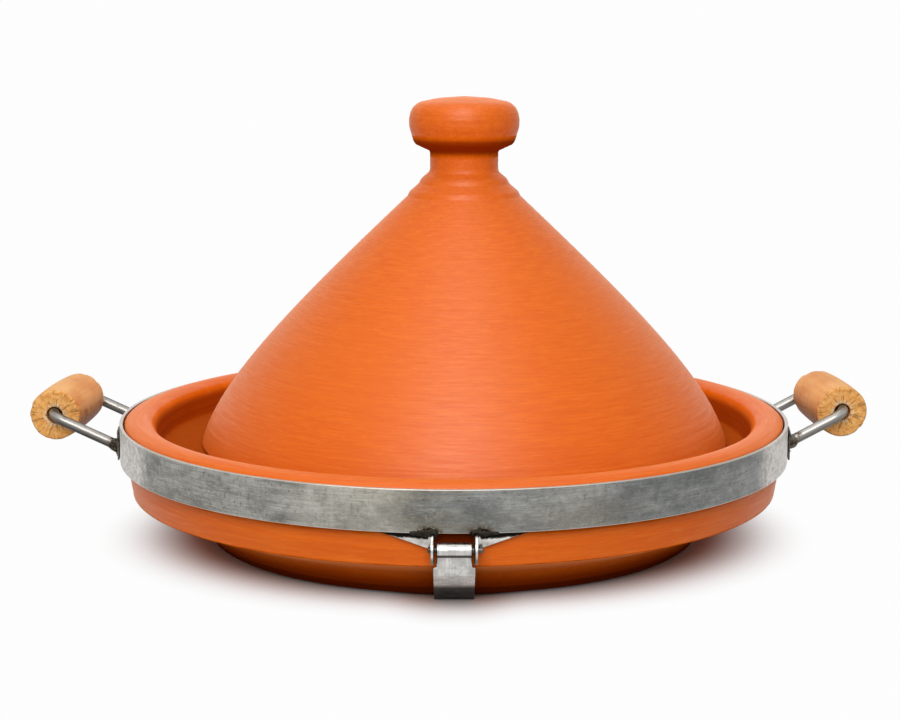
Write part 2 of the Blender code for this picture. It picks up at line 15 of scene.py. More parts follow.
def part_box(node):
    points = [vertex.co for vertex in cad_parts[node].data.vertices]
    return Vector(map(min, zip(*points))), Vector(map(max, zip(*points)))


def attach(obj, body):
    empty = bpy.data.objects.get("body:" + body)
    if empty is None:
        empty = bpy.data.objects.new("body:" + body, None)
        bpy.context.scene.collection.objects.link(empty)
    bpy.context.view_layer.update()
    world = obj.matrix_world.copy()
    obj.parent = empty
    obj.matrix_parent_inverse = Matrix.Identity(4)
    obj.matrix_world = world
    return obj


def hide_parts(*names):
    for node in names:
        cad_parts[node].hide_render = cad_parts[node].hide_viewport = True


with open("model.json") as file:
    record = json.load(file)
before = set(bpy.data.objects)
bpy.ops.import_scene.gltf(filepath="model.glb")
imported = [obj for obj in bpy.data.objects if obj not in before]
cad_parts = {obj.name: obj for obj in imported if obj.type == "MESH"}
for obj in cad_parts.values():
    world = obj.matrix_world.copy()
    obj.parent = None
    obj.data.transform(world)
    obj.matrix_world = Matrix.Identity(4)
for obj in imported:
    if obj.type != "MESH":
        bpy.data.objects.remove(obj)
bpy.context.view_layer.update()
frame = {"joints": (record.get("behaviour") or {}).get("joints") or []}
joints = {joint["name"]: joint for joint in frame["joints"]}
scene = bpy.context.scene

MM = 0.001
GAP = 0.3 * MM

# Lid
LID_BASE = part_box("lid")[0].z
LID_RADIUS = 126.2 * MM
LID_SHIFT = 5 * MM
LID_WALL = 8 * MM
LID_FOOT_ROUND = 1.2 * MM
CEILING_RISE = 2 * MM
CONE_HEIGHT = 117.9 * MM
CONE_TOP_RADIUS = 26.8 * MM
CONE_LOW_LEAN = 7.2 * MM
CONE_LOW_RISE = 29.8 * MM
CONE_HIGH_SPREAD = 47.6 * MM
CONE_HIGH_FALL = 45 * MM
CONE_STEPS = 40
STEP_HEIGHT = 5.9 * MM
STEP_RISER = 2.1 * MM
STEP_LEAN = 1 * MM
NECK_RADIUS = 16.1 * MM
NECK_LENGTH = 9.6 * MM
NECK_ROUND = 3 * MM
NECK_TOP_ROUND = 1.5 * MM
KNOB_RADIUS = 26.5 * MM
KNOB_LOW_RADIUS = 23.6 * MM
KNOB_TOP_RADIUS = 24.6 * MM
KNOB_UNDERCUT = 3.4 * MM
KNOB_SWELL = 9.6 * MM
KNOB_FALL = 9.2 * MM
KNOB_CROWN = 3.4 * MM
KNOB_LOW_ROUND = 4 * MM
KNOB_ROUND = 14 * MM
KNOB_TOP_ROUND = 8 * MM

# Dish
DISH_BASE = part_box("dish")[0].z
DISH_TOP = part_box("dish")[1].z
DISH_FLOOR = DISH_BASE + 9.1 * MM
FOOT_RADIUS = 117.2 * MM
FLARE_RADIUS = 125 * MM
FLARE_HEIGHT = 11.8 * MM
RIDGE_Z = 24.4 * MM
RIDGE_RADIUS = 154.23 * MM
WALL_RADIUS = 155.53 * MM
WALL_TURN_RISE = 8 * MM
COLLAR_STEP = 2 * MM
COLLAR_Z = 45.3 * MM
RIM_ROUND = 9 * MM
RIM_EDGE_ANGLE = radians(45)
LEDGE_RADIUS = 140.65 * MM
LEDGE_END = 117.2 * MM
LEDGE_Z = LID_BASE - GAP
LEDGE_SLOPE = radians(78)
BOWL_ROUND = 22 * MM

# Hoop
BAND_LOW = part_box("rim_band")[0].z
BAND_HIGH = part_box("rim_band")[1].z
BAND_MIDDLE = (BAND_LOW + BAND_HIGH) / 2
BAND_HALF = (BAND_HIGH - BAND_LOW) / 2
BAND_INSIDE = 158.43 * MM
BAND_RADIUS = 160.03 * MM
BAND_EDGE = 0.35 * MM
SEAM_WIDTH = 5 * MM
SEAM_PROUD = 1.1 * MM

# Handles and grips
ROD_RADIUS = 2.5 * MM
ROD_BEND = 7 * MM
HANDLE_HALF = 30 * MM
PAD_WIDTH = 12 * MM
PAD_HEIGHT = 14 * MM
PAD_THICK = 0.9 * MM
PAD_EDGE = 0.25 * MM
WELD_RADIUS = 3.5 * MM
WELD_REACH = 2.4 * MM
WELD_DROP = {"right": 10.5 * MM, "left": 12.4 * MM}
WELD_SOOT = {"right": 5 * MM, "left": 8 * MM}
GRIP_LENGTH = 47 * MM
GRIP_RADIUS = 12.7 * MM
GRIP_END_RADIUS = 12.1 * MM
GRIP_BORE = 4 * MM
GRIP_SAG = GRIP_BORE - ROD_RADIUS - GAP
GRIP_EDGE = 0.7 * MM

# Hinges and clips
STRIP_THICK = 1.4 * MM
STRIP_EDGE = 0.3 * MM
PIN_RADIUS = 1.3 * MM
PIN_PROUD_LEFT = 1.4 * MM
PIN_PROUD_RIGHT = 2.4 * MM
CLIP_WIDTH = 17.1 * MM
EYE_WIDTH = 14.3 * MM
EAR_MIDDLE = 8.75 * MM
EAR_NOSE = 6 * MM
LAP_ANGLE = radians(70)
KNEE_ROUND = 3.2 * MM
TOE_ROUND = 5 * MM
TOE_REACH = 29 * MM
TOE_CLEARANCE = 2.5 * MM
RIDGE_CLEARANCE = 2.7 * MM
WING_REACH = 31 * MM
WING_LAP = 4.6 * MM
LUG_BEND = 1.1 * MM
PIN_Z = joints["front_clip_swing"]["pos_m"][2]
PIN_DISTANCE = BAND_RADIUS
CLIP_SPINS = {
    name: Matrix.Rotation(radians(turn), 4, "Z")
    for name, turn in (("front", 0), ("rear_right", 120), ("rear_left", -120))
}

# Camera
VIEW_DISTANCE = 0.9
VIEW_ELEVATION = radians(9.6)
VIEW_AIM = Vector((-1.74 * MM, 0, 83.7 * MM))
LENS = 74.44

# Light and floor. Each lamp is (name, place, aim, size, power)
WORLD_LEVEL = 0.3
WHITE_LEVEL = 0.985
FLOOR_GREY = (0.47, 0.47, 0.47, 1)
FLOOR_WHITE = (0.97, 0.97, 0.97, 1)
FLOOR_SHADOW_TINT = (0.82, 0.6, 0.5, 1)
FLOOR_RADIUS = 1.2
SIDE_SHORTENING = 0.95
FRONT_SHORTENING = 1.11
SHADOW_START = 0.115
SHADOW_END = 0.168
TOE_SHADOW = 0.011
LAMPS = (
    ("front", (-0.1, -1.2, 0.85), (0, 0, 0.08), (1.0, 0.8), 12.8),
    ("top", (-0.1, 0, 1.4), (0, 0, 0), (1.2, 1.2), 5),
    ("rear_fill", (0.1, 1.2, 0.9), (0, 0, 0.08), (1.0, 1.0), 4.5),
    ("clay_sheen", (-0.05, -0.8, 1.1), (0, 0, 0.08), (0.3, 1.1), 17),
)

# Finishes. Each pair is where a fade starts and where it is full
CLAY_SHEEN = 0.22
# Where the clay gets painted shade: the channel, the underside and the lines on the outer wall.
CHANNEL_OUTSIDE = (152 * MM, 146 * MM)
CHANNEL_INSIDE = (104 * MM, 114 * MM)
UNDERSIDE = (108 * MM, 116 * MM)
OUTER_WALL = (146 * MM, 150 * MM)
EAR_SOOT = 7 * MM
EAR_SOOT_ASIDE = 10.5 * MM
# Painted light, shade and reflection on the hoop: a pale patch each side of the middle, a dark zone on the
# right, and pale ends.
PALE_PATCH = 42 * MM
DARK_LEFT = (50 * MM, 75 * MM)
DARK_RIGHT = (148 * MM, 138 * MM)
REFLECTION_ENDS = (140 * MM, 151 * MM)

# Mesh steps round the turned pieces, and the sizes of the welds
LID_SIDES = 384
DISH_SIDES = 480
HOOP_SIDES = 900
GRIP_SIDES = 144
PIN_SIDES = 48
WIRE_SIDES = 32
WELD_VOXEL = 0.3 * MM
CRUST_VOXEL = 0.25 * MM
WELD_GRAIN = 1.6 * MM
WELD_ROUGH = 0.16 * MM
WELD_BLOBS = 7
WELD_DROPS = 5
CRUST_BLOBS = 11
CRUST_START = 7.6 * MM
CRUST_LENGTH = 9.5 * MM
CRUST_HEIGHT = 2.2 * MM
CRUST_FALL = 1.5 * MM
CRUST_DEPTH = 0.75 * MM


# Outlines

def cone_point(share):
    """A point of the lid's cone, from foot to top, and its outward normal."""
    foot = Vector((LID_RADIUS, LID_FOOT_ROUND))
    low = Vector((LID_RADIUS - CONE_LOW_LEAN, CONE_LOW_RISE))
    high = Vector((CONE_TOP_RADIUS + CONE_HIGH_SPREAD, CONE_HEIGHT - CONE_HIGH_FALL))
    top = Vector((CONE_TOP_RADIUS, CONE_HEIGHT))
    rest = 1 - share
    point = foot * rest ** 3 + low * 3 * rest ** 2 * share + high * 3 * rest * share ** 2 + top * share ** 3
    slope = (low - foot) * rest ** 2 + (high - low) * 2 * rest * share + (top - high) * share ** 2
    return point, Vector((slope.y, -slope.x)).normalized()


def rounded(corners, spacing=0.5 * MM):
    """Points of a path whose corners are bent. Each corner is (point, radius)."""
    points = [Vector(corners[0][0])]
    for (before, _), (corner, radius), (after, _) in zip(corners, corners[1:], corners[2:]):
        corner = Vector(corner)
        if radius == 0:
            points.append(corner)
            continue
        arriving = (corner - Vector(before)).normalized()
        leaving = (Vector(after) - corner).normalized()
        turn = arriving.angle(leaving)
        centre = corner + (leaving - arriving).normalized() * radius / cos(turn / 2)
        start = corner - arriving * radius * tan(turn / 2)
        outward = (start - centre).normalized()
        steps = max(3, round(radius * turn / spacing))
        for step in range(steps + 1):
            angle = turn * step / steps
            points.append(centre + (outward * cos(angle) + arriving * sin(angle)) * radius)
    return points + [Vector(corners[-1][0])]


def arc(centre, radius, start, end, steps):
    """Points on an arc, both ends included."""
    angles = [start + (end - start) * step / steps for step in range(steps + 1)]
    return [Vector((centre[0] + radius * cos(a), centre[1] + radius * sin(a))) for a in angles]


def dense(points, spacing):
    """The same line with points at most the spacing apart."""
    points = [Vector(point) for point in points]
    result = points[:1]
    for start, end in zip(points, points[1:]):
        count = max(1, ceil((end - start).length / spacing))
        result += [start.lerp(end, (step + 1) / count) for step in range(count)]
    return result


# Meshes

def new_object(name, data):
    thing = bpy.data.objects.new(name, data)
    scene.collection.objects.link(thing)
    return thing


def add_piece(name, mesh, material, body, nodes, place=None):
    """Put a mesh in the scene as a piece that stands for nodes of the frame."""
    mesh.materials.clear()
    mesh.materials.append(material)
    piece = new_object(name, mesh)
    if place:
        piece.matrix_world = place
    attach(piece, body)
    if nodes:
        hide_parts(*nodes)


def mesh_of(bm, name):
    mesh = bpy.data.meshes.new(name)
    bm.to_mesh(mesh)
    bm.free()
    return mesh


def grid_mesh(name, rings, closed_rows, first=None, last=None):
    """A mesh from rows of points that run round. first and last close its ends."""
    rows, steps = rings.shape[:2]
    verts = rings.reshape(-1, 3).tolist()
    index = np.arange(rows * steps).reshape(rows, steps)
    low = index if closed_rows else index[:-1]
    high = np.roll(index, -1, axis=0) if closed_rows else index[1:]
    quads = np.stack([low, np.roll(low, -1, axis=1), np.roll(high, -1, axis=1), high], axis=-1)
    faces = quads.reshape(-1, 4).tolist()
    for point, row, flip in ((first, index[0], True), (last, index[-1], False)):
        if point is None:
            continue
        verts.append(list(point))
        centre = len(verts) - 1
        for here, beside in zip(row.tolist(), np.roll(row, -1).tolist()):
            faces.append((beside, here, centre) if flip else (here, beside, centre))
    mesh = bpy.data.meshes.new(name)
    mesh.from_pydata(verts, [], faces)
    mesh.shade_smooth()
    return mesh


def turned(name, outline, steps, relief=None, closed=False):
    """Spin an outline of (radius, height) points round Z.

    relief(angle, length, radius, height) is how far the surface stands out.
    """
    points = np.array([tuple(point) for point in outline])
    if closed:
        slope = np.roll(points, -1, axis=0) - np.roll(points, 1, axis=0)
    else:
        slope = np.gradient(points, axis=0)
    length = np.concatenate([[0], np.cumsum(np.hypot(*np.diff(points, axis=0).T))])[:, None]
    normal = np.stack([slope[:, 1], -slope[:, 0]], axis=1)
    normal /= np.maximum(np.linalg.norm(normal, axis=1), 1e-12)[:, None]
    angle = (np.arange(steps) * tau / steps)[None, :]
    radius = points[:, :1] + 0 * angle
    height = points[:, 1:] + 0 * angle
    if relief:
        out = relief(angle, length, radius, height) + 0 * angle
        radius = radius + out * normal[:, :1]
        height = height + out * normal[:, 1:]
    rings = np.stack([radius * np.cos(angle), radius * np.sin(angle), height], axis=-1)
    if closed:
        return grid_mesh(name, rings, True)
    first = (0, 0, height[0].mean())
    last = (0, 0, height[-1].mean())
    return grid_mesh(name, rings[1:-1], False, first, last)


def tube(name, path, radius, steps):
    """A round bar along a path."""
    points = np.array([tuple(point) for point in path])
    along = np.gradient(points, axis=0)
    along /= np.linalg.norm(along, axis=1)[:, None]
    side = np.cross(along[0], (0, 0, 1.0))
    sides = []
    for direction in along:
        side = side - direction * side.dot(direction)
        side /= np.linalg.norm(side)
        sides.append(side)
    sides = np.array(sides)[:, None]
    ups = np.cross(along, sides[:, 0])[:, None]
    angle = (np.arange(steps) * tau / steps)[None, :, None]
    rings = points[:, None] + (sides * np.cos(angle) + ups * np.sin(angle)) * radius
    return grid_mesh(name, rings, False, points[0], points[-1])


def bent_strip(name, path, thickness, place):
    """A flat bar along a path of (a, b, low, high) points. place gives a point for (a, b, across)."""
    points = [Vector((a, b)) for a, b, _, _ in path]
    runs = [(end - start).normalized() for start, end in zip(points, points[1:])]
    bm = bmesh.new()
    sections = []
    for index, (point, (_, _, low, high)) in enumerate(zip(points, path)):
        before = runs[max(index - 1, 0)]
        after = runs[min(index, len(runs) - 1)]
        along = (before + after).normalized()
        side = Vector((-along.y, along.x)) * (thickness / 2 / along.dot(before))
        left, right = point + side, point - side
        corners = ((left, low), (left, high), (right, high), (right, low))
        sections.append([bm.verts.new(place(corner.x, corner.y, across)) for corner, across in corners])
    for near, far in zip(sections, sections[1:]):
        for edge in range(4):
            beside = (edge + 1) % 4
            bm.faces.new((near[edge], near[beside], far[beside], far[edge]))
    bm.faces.new(sections[0])
    bm.faces.new(sections[-1])
    bmesh.ops.recalc_face_normals(bm, faces=bm.faces)
    return mesh_of(bm, name)


def evaluated(mesh, *modifiers):
    """The mesh after some modifiers, each given as (type, settings)."""
    body = new_object("body", mesh)
    for kind, settings in modifiers:
        modifier = body.modifiers.new(kind.lower(), kind)
        for setting, value in settings.items():
            setattr(modifier, setting, value)
    bpy.context.view_layer.update()
    result = bpy.data.meshes.new_from_object(body.evaluated_get(bpy.context.evaluated_depsgraph_get()))
    bpy.data.objects.remove(body)
    result.shade_smooth()
    return result


def soften(mesh, width):
    """Round a strip's long edges."""
    bevel = {"width": width, "segments": 3, "limit_method": "ANGLE", "angle_limit": radians(50)}
    return evaluated(mesh, ("BEVEL", bevel), ("WEIGHTED_NORMAL", {"keep_sharp": True}))


def lumps(name, blobs, voxel, seed):
    """Weld metal: blobs of (centre, half sizes) run into one rough lump."""
    bm = bmesh.new()
    for centre, sizes in blobs:
        place = Matrix.Translation(centre) @ Matrix.Diagonal((*sizes, 1))
        bmesh.ops.create_icosphere(bm, subdivisions=3, radius=1, matrix=place)
    mesh = evaluated(mesh_of(bm, name), ("REMESH", {"mode": "VOXEL", "voxel_size": voxel}))
    shift = Vector((seed, 2 * seed, 3 * seed))
    for vert in mesh.vertices:
        vert.co += vert.normal * noise.fractal(vert.co / WELD_GRAIN + shift, 1, 2, 3) * WELD_ROUGH
    return mesh


def throwing(seed, depth, wobble):
    """Low lines that fingers leave in thrown clay, as relief(angle, length)."""
    draw = np.random.default_rng(seed)
    rates = tau / draw.uniform(1.8 * MM, 7 * MM, 10)
    spirals = draw.integers(-1, 2, 10)
    beats = draw.integers(1, 6, 10)
    phases = draw.uniform(0, tau, 10)

    def relief(angle, length):
        lines = 0
        for rate, spiral, beat, phase in zip(rates, spirals, beats, phases):
            strength = 0.6 + 0.4 * np.cos(beat * angle + 3 * phase + 40 * length)
            lines = lines + strength * np.cos(rate * length + spiral * angle + phase)
        bulge = np.cos(2 * angle + phases[0]) + 0.6 * np.cos(3 * angle + 30 * length + phases[1])
        return depth * lines / 3 + wobble * bulge

    return relief


# Materials

class Nodes:
    """A node tree and short ways to add to it."""

    def __init__(self, tree):
        self.nodes = tree.nodes
        self.link = tree.links.new

    def add(self, kind, inputs=(), **settings):
        node = self.nodes.new("ShaderNode" + kind)
        for setting, value in settings.items():
            setattr(node, setting, value)
        for socket, value in inputs:
            if isinstance(value, bpy.types.NodeSocket):
                self.link(value, node.inputs[socket])
            else:
                node.inputs[socket].default_value = value
        return node

    def sum(self, operation, *values, clamp=False):
        return self.add("Math", enumerate(values), operation=operation, use_clamp=clamp).outputs[0]

    def plus(self, first, second, clamp=False):
        return self.sum("ADD", first, second, clamp=clamp)

    def minus(self, first, second):
        return self.sum("SUBTRACT", first, second)

    def times(self, first, second, clamp=False):
        return self.sum("MULTIPLY", first, second, clamp=clamp)

    def most(self, first, second):
        return self.sum("MAXIMUM", first, second)

    def off(self, value, level=0.0):
        """How far a value is from a level, either way."""
        return self.sum("ABSOLUTE", self.minus(value, level))

    def vector(self, operation, *values):
        node = self.add("VectorMath", enumerate(values), operation=operation)
        return node.outputs["Value" if operation == "LENGTH" else "Vector"]

    def part(self, vector, axis):
        """One coordinate of a vector, by its number."""
        return self.add("SeparateXYZ", ((0, vector),)).outputs[axis]

    def spread(self, value, low, high, start=0.0, end=1.0):
        """Move a value from low..high to start..end, held at both ends."""
        inputs = ((0, value), (1, low), (2, high), (3, start), (4, end))
        return self.add("MapRange", inputs, interpolation_type="SMOOTHSTEP").outputs[0]

    def mix(self, share, first, second):
        return self.add("Mix", ((0, share), (6, first), (7, second)), data_type="RGBA").outputs[2]

    def seen(self):
        """1 for what the camera sees, also by way of metal or glass, and 0 for other rays."""
        rays = self.add("LightPath").outputs
        seen = self.plus(rays["Is Camera Ray"], rays["Is Glossy Ray"])
        return self.plus(seen, rays["Is Transmission Ray"], clamp=True)


class Finish(Nodes):
    """A material. tone is its colour so far, and place a point of the piece."""

    def __init__(self, name, roughness, metallic=0.0):
        self.material = bpy.data.materials.new(name)
        self.material.use_nodes = True
        super().__init__(self.material.node_tree)
        self.inputs = self.nodes["Principled BSDF"].inputs
        self.inputs["Metallic"].default_value = metallic
        self.inputs["Roughness"].default_value = roughness
        self.place = self.add("TexCoord").outputs["Object"]
        self.tone = None

    def at(self, axis):
        """One coordinate of the point, by its number."""
        return self.part(self.place, axis)

    def noise(self, vector, detail, roughness, distortion=0.0):
        inputs = (("Vector", vector), ("Scale", 1), ("Detail", detail),
                  ("Roughness", roughness), ("Distortion", distortion))
        return self.add("TexNoise", inputs).outputs["Fac"]

    def cloud(self, scale, detail, roughness, shift=0.0, distortion=0.0):
        """Noise over the piece. Its scale is one number, or one for each axis."""
        scale = scale if isinstance(scale, tuple) else (scale, scale, scale)
        moved = self.vector("ADD", self.place, (shift, shift, shift))
        return self.noise(self.vector("MULTIPLY", moved, scale), detail, roughness, distortion)

    def spun(self, flat, around, climb):
        """Coordinates that turn slowly round an axis, with a climb along it."""
        turn = self.vector("MULTIPLY", self.vector("NORMALIZE", flat), (around, around, 0))
        return self.vector("ADD", turn, self.add("CombineXYZ", ((2, climb),)).outputs[0])

    def ring(self, around, up, centre_x, shift, detail, roughness):
        """Noise in level streaks round an upright axis."""
        centred = self.vector("SUBTRACT", self.place, (centre_x, 0, 0))
        flat = self.vector("MULTIPLY", centred, (1, 1, 0))
        level = self.minus(self.part(centred, 2), self.vector("LENGTH", flat))
        climb = self.times(self.plus(level, shift), up)
        return self.noise(self.spun(flat, around, climb), detail, roughness)

    def away(self, spot=(0, 0, 0), scale=(1, 1, 0)):
        """How far a point is from a spot, each axis scaled, or else from the Z axis."""
        offset = self.vector("SUBTRACT", self.place, tuple(spot))
        return self.vector("LENGTH", self.vector("MULTIPLY", offset, scale))

    def paint(self, share, *shade):
        """Cover a share of the tone with a colour."""
        self.tone = self.mix(share, self.tone, rgb(*shade))

    def lay(self, value, low, high, share, *shade):
        """Cover the tone with a colour where a value runs from low to high."""
        self.paint(self.spread(value, low, high, 0, share), *shade)

    def bump(self, height, distance):
        normal = self.inputs["Normal"]
        inputs = (("Height", height), ("Distance", distance))
        if normal.is_linked:
            inputs += (("Normal", normal.links[0].from_socket),)
        self.link(self.add("Bump", inputs).outputs[0], normal)

    def done(self, rough=None):
        """The material, with its colour and its roughness in place."""
        self.link(self.tone, self.inputs["Base Color"])
        if rough:
            self.link(rough, self.inputs["Roughness"])
        return self.material


def rgb(red, green, blue):
    """A colour from its usual 0 to 255 values."""
    shares = (value / 255 for value in (red, green, blue))
    return (*(((share + 0.055) / 1.055) ** 2.4 if share > 0.04 else share / 12.92 for share in shares), 1)


def terracotta(name, centre_x, shift, painted_shade):
    """Fired clay: level streaks from throwing, patches, a pale bloom in streaks, specks, a painted sheen
    towards its outline and a slight specular sheen.

    The last argument gives, from 0 to 1, where the clay gets painted shade and loses its sheen.
    """
    clay = Finish(name, 0.5)
    broad = clay.ring(5, 260, centre_x, shift + 2, 3, 0.55)
    streaks = clay.ring(7, 900, centre_x, shift, 4, 0.65)
    fine = clay.ring(26, 3200, centre_x, shift, 2, 0.6)
    patches = clay.cloud((11, 11, 16), 3, 0.5, shift)
    bloom = clay.spread(clay.ring(12, 1300, centre_x, shift + 1, 5, 0.7), 0.56, 0.78)
    pits = clay.spread(clay.cloud(700, 2, 0.5, shift), 0.74, 0.8)
    clay.tone = clay.mix(clay.spread(streaks, 0.3, 0.7), rgb(230, 100, 11), rgb(240, 116, 21))
    clay.lay(broad, 0.35, 0.7, 0.4, 223, 95, 14)
    clay.lay(patches, 0.35, 0.7, 0.4, 235, 112, 24)
    clay.lay(fine, 0.35, 0.75, 0.25, 208, 82, 8)
    clay.paint(clay.times(bloom, 0.42), 250, 156, 88)
    clay.paint(clay.times(pits, 0.3), 150, 50, 10)
    # Painted sheen: paler towards the outline, where the surface turns away from the view.
    edge = clay.add("LayerWeight", (("Blend", 0.3),)).outputs["Facing"]
    clay.lay(edge, 0.25, 0.95, 0.5, 255, 152, 74)
    # Painted shade: darker, and without sheen, where the last argument says.
    shade_share = painted_shade(clay)
    clay.lay(shade_share, 0.12, 0.95, 0.85, 134, 44, 3)
    clay.lay(shade_share, 0.9, 1, 0.6, 58, 12, 2)
    sheen = clay.inputs["Specular IOR Level"]
    sheen.default_value = CLAY_SHEEN
    clay.link(clay.spread(shade_share, 0, 0.15, CLAY_SHEEN, 0), sheen)
    clay.bump(streaks, 0.09 * MM)
    clay.bump(fine, 0.05 * MM)
    clay.bump(pits, -0.08 * MM)
    return clay.done(clay.spread(streaks, 0.3, 0.7, 0.5, 0.4))


def blackened(metal, rough, black):
    """Blacken a metal where a mask says: brown at the fringe and black in the middle. Gives its roughness.
    The masks are weld burns, and on the ears and the strap also painted shade.
    """
    metal.lay(black, 0.05, 0.45, 0.75, 88, 74, 56)
    metal.lay(black, 0.35, 0.85, 1, 22, 20, 18)
    return metal.plus(rough, metal.times(black, 0.25))


def steel(name, dark, light, roughness, blackening, shift, streak=300):
    """Bare steel: mottled, with fine lines and specks, and blackened where its mask says, which on the ears
    and the strap includes painted shade.
    """
    metal = Finish(name, roughness, 1.0)
    mottle = metal.cloud(150, 6, 0.7, shift)
    lines = metal.cloud(streak, 3, 0.6, shift)
    metal.tone = metal.mix(metal.spread(mottle, 0.35, 0.65), rgb(*dark), rgb(*light))
    metal.lay(lines, 0.4, 0.65, 0.4, *dark)
    metal.lay(metal.cloud(1300, 2, 0.5, shift), 0.64, 0.74, 0.55, 62, 56, 50)
    rough = metal.spread(mottle, 0.3, 0.7, roughness - 0.06, roughness + 0.1)
    if blackening:
        rough = blackened(metal, rough, blackening(metal))
    metal.bump(lines, 0.05 * MM)
    metal.bump(mottle, 0.06 * MM)
    return metal.done(rough)


def galvanised():
    """The hoop's dull zinc: rolled streaks, stains and specks, with painted light and shade across its
    front and back, a painted highlight along its edges and a painted reflection at its ends.
    """
    zinc = Finish("hoop_zinc", 0.42, 1.0)
    clouds = zinc.cloud((26, 26, 60), 7, 0.72)
    stains = zinc.cloud((9, 9, 30), 5, 0.65, 3.0)
    rolled = zinc.cloud((45, 45, 1500), 4, 0.65, 1.0)
    scratches = zinc.cloud((170, 170, 3800), 2, 0.6, 2.0)
    grains = zinc.cloud(950, 3, 0.7, 5.0)
    zinc.tone = zinc.mix(zinc.spread(clouds, 0.36, 0.64), rgb(104, 103, 97), rgb(172, 171, 164))
    zinc.lay(stains, 0.47, 0.6, 0.55, 133, 122, 102)
    zinc.lay(rolled, 0.38, 0.66, 0.55, 102, 104, 103)
    zinc.lay(scratches, 0.55, 0.72, 0.5, 186, 186, 181)
    zinc.lay(grains, 0.6, 0.72, 0.6, 78, 74, 66)
    pits = zinc.spread(zinc.cloud(420, 4, 0.6, 8.0), 0.62, 0.7)
    zinc.paint(zinc.times(pits, zinc.spread(clouds, 0.4, 0.6, 0.2, 0.75)), 66, 60, 52)
    zinc.lay(grains, 0.4, 0.3, 0.35, 190, 188, 180)
    across = zinc.at(0)
    aside = zinc.off(across)
    # Painted light and shade across the front and back: paler each side of the middle and more on the left,
    # darker at the middle and on the right, and bluer to the right.
    paler = zinc.spread(zinc.off(aside, PALE_PATCH), 14 * MM, 30 * MM, 0.24, 0)
    zinc.paint(zinc.times(paler, zinc.spread(across, -9 * MM, 9 * MM, 1, 0.4)), 208, 201, 186)
    darker = zinc.times(zinc.spread(across, *DARK_LEFT), zinc.spread(across, *DARK_RIGHT))
    darker = zinc.most(darker, zinc.spread(aside, 8 * MM, 22 * MM, 1, 0))
    zinc.paint(zinc.times(darker, 0.32), 84, 86, 84)
    zinc.lay(across, -20 * MM, 20 * MM, 0.2, 110, 118, 126)
    mottled = zinc.cloud((330, 330, 420), 7, 0.8, 9.0)
    upright = zinc.cloud((900, 900, 90), 3, 0.6, 4.0)
    zinc.lay(mottled, 0.5, 0.64, 0.4, 82, 81, 76)
    zinc.lay(mottled, 0.44, 0.34, 0.3, 188, 186, 180)
    zinc.lay(upright, 0.56, 0.7, 0.2, 96, 94, 88)
    # Painted highlight: a pale line along the hoop's top and bottom edges.
    from_middle = zinc.off(zinc.at(2), BAND_MIDDLE)
    zinc.lay(from_middle, BAND_HALF - 0.5 * MM, BAND_HALF - 0.2 * MM, 0.45, 222, 214, 200)
    # Painted reflection: the hoop's left and right ends turn pale, with a ragged edge.
    ragged = zinc.times(zinc.cloud(160, 5, 0.7, 7.0), 16 * MM)
    end_reflection = zinc.spread(zinc.plus(aside, ragged), *REFLECTION_ENDS)
    zinc.paint(zinc.times(end_reflection, zinc.spread(mottled, 0.56, 0.46, 0.45, 0.9)), 207, 202, 196)
    rough = blackened(zinc, zinc.spread(clouds, 0.3, 0.7, 0.36, 0.5), near_welds(zinc))
    zinc.bump(rolled, 0.05 * MM)
    zinc.bump(grains, 0.05 * MM)
    return zinc.done(rough)


def wood(name, shift):
    """Turned wood with its grain along Z, and painted shade where it faces down. Its end faces have rays,
    cracks and a pale ring.
    """
    grain = Finish(name, 0.55)
    grain.inputs["Specular IOR Level"].default_value = 0.25
    half = GRIP_LENGTH / 2
    fibres = grain.cloud((900, 900, 40), 4, 0.6, shift)
    broad = grain.cloud((90, 90, 30), 3, 0.5, shift)
    grooves = grain.cloud((60, 60, 420), 3, 0.6, shift + 3)
    grain.tone = grain.mix(grain.spread(broad, 0.3, 0.7), rgb(228, 152, 78), rgb(247, 186, 114))
    grain.lay(fibres, 0.4, 0.75, 0.35, 206, 130, 60)
    grain.lay(grooves, 0.62, 0.72, 0.4, 180, 112, 52)
    upward = grain.part(grain.add("NewGeometry").outputs["Normal"], 2)
    cuts = grain.cloud((70, 70, 260), 2, 0.5, shift + 5, 1.2)
    cuts = grain.times(grain.spread(cuts, 0.6, 0.67), grain.spread(upward, -0.2, 0.5, 0.8, 0))
    # Painted shade: darker where the surface faces down.
    grain.paint(grain.spread(upward, -0.7, 0.5, 0.85, 0), 128, 66, 18)
    grain.paint(cuts, 122, 68, 26)

    flat = grain.vector("MULTIPLY", grain.place, (1, 1, 0))
    away = grain.vector("LENGTH", flat)
    rays = grain.noise(grain.spun(flat, 7, grain.times(away, 110)), 4, 0.65)
    rings = grain.cloud((420, 420, 1), 4, 0.7, shift + 8)
    side = grain.tone
    grain.tone = grain.mix(grain.spread(rings, 0.35, 0.65), rgb(226, 152, 72), rgb(250, 192, 116))
    grain.lay(rays, 0.54, 0.68, 0.7, 150, 90, 34)
    pale = grain.times(grain.spread(away, 5.2 * MM, 5.9 * MM, 0.7, 0), grain.spread(rings, 0.4, 0.55))
    grain.paint(pale, 240, 214, 176)
    on_face = grain.spread(grain.off(grain.at(2)), half - 0.9 * MM, half - 0.3 * MM)
    grain.tone = grain.mix(on_face, side, grain.tone)
    grain.bump(fibres, 0.1 * MM)
    grain.bump(grain.times(grain.spread(rays, 0.55, 0.64), on_face), -0.25 * MM)
    return grain.done()


# Pieces

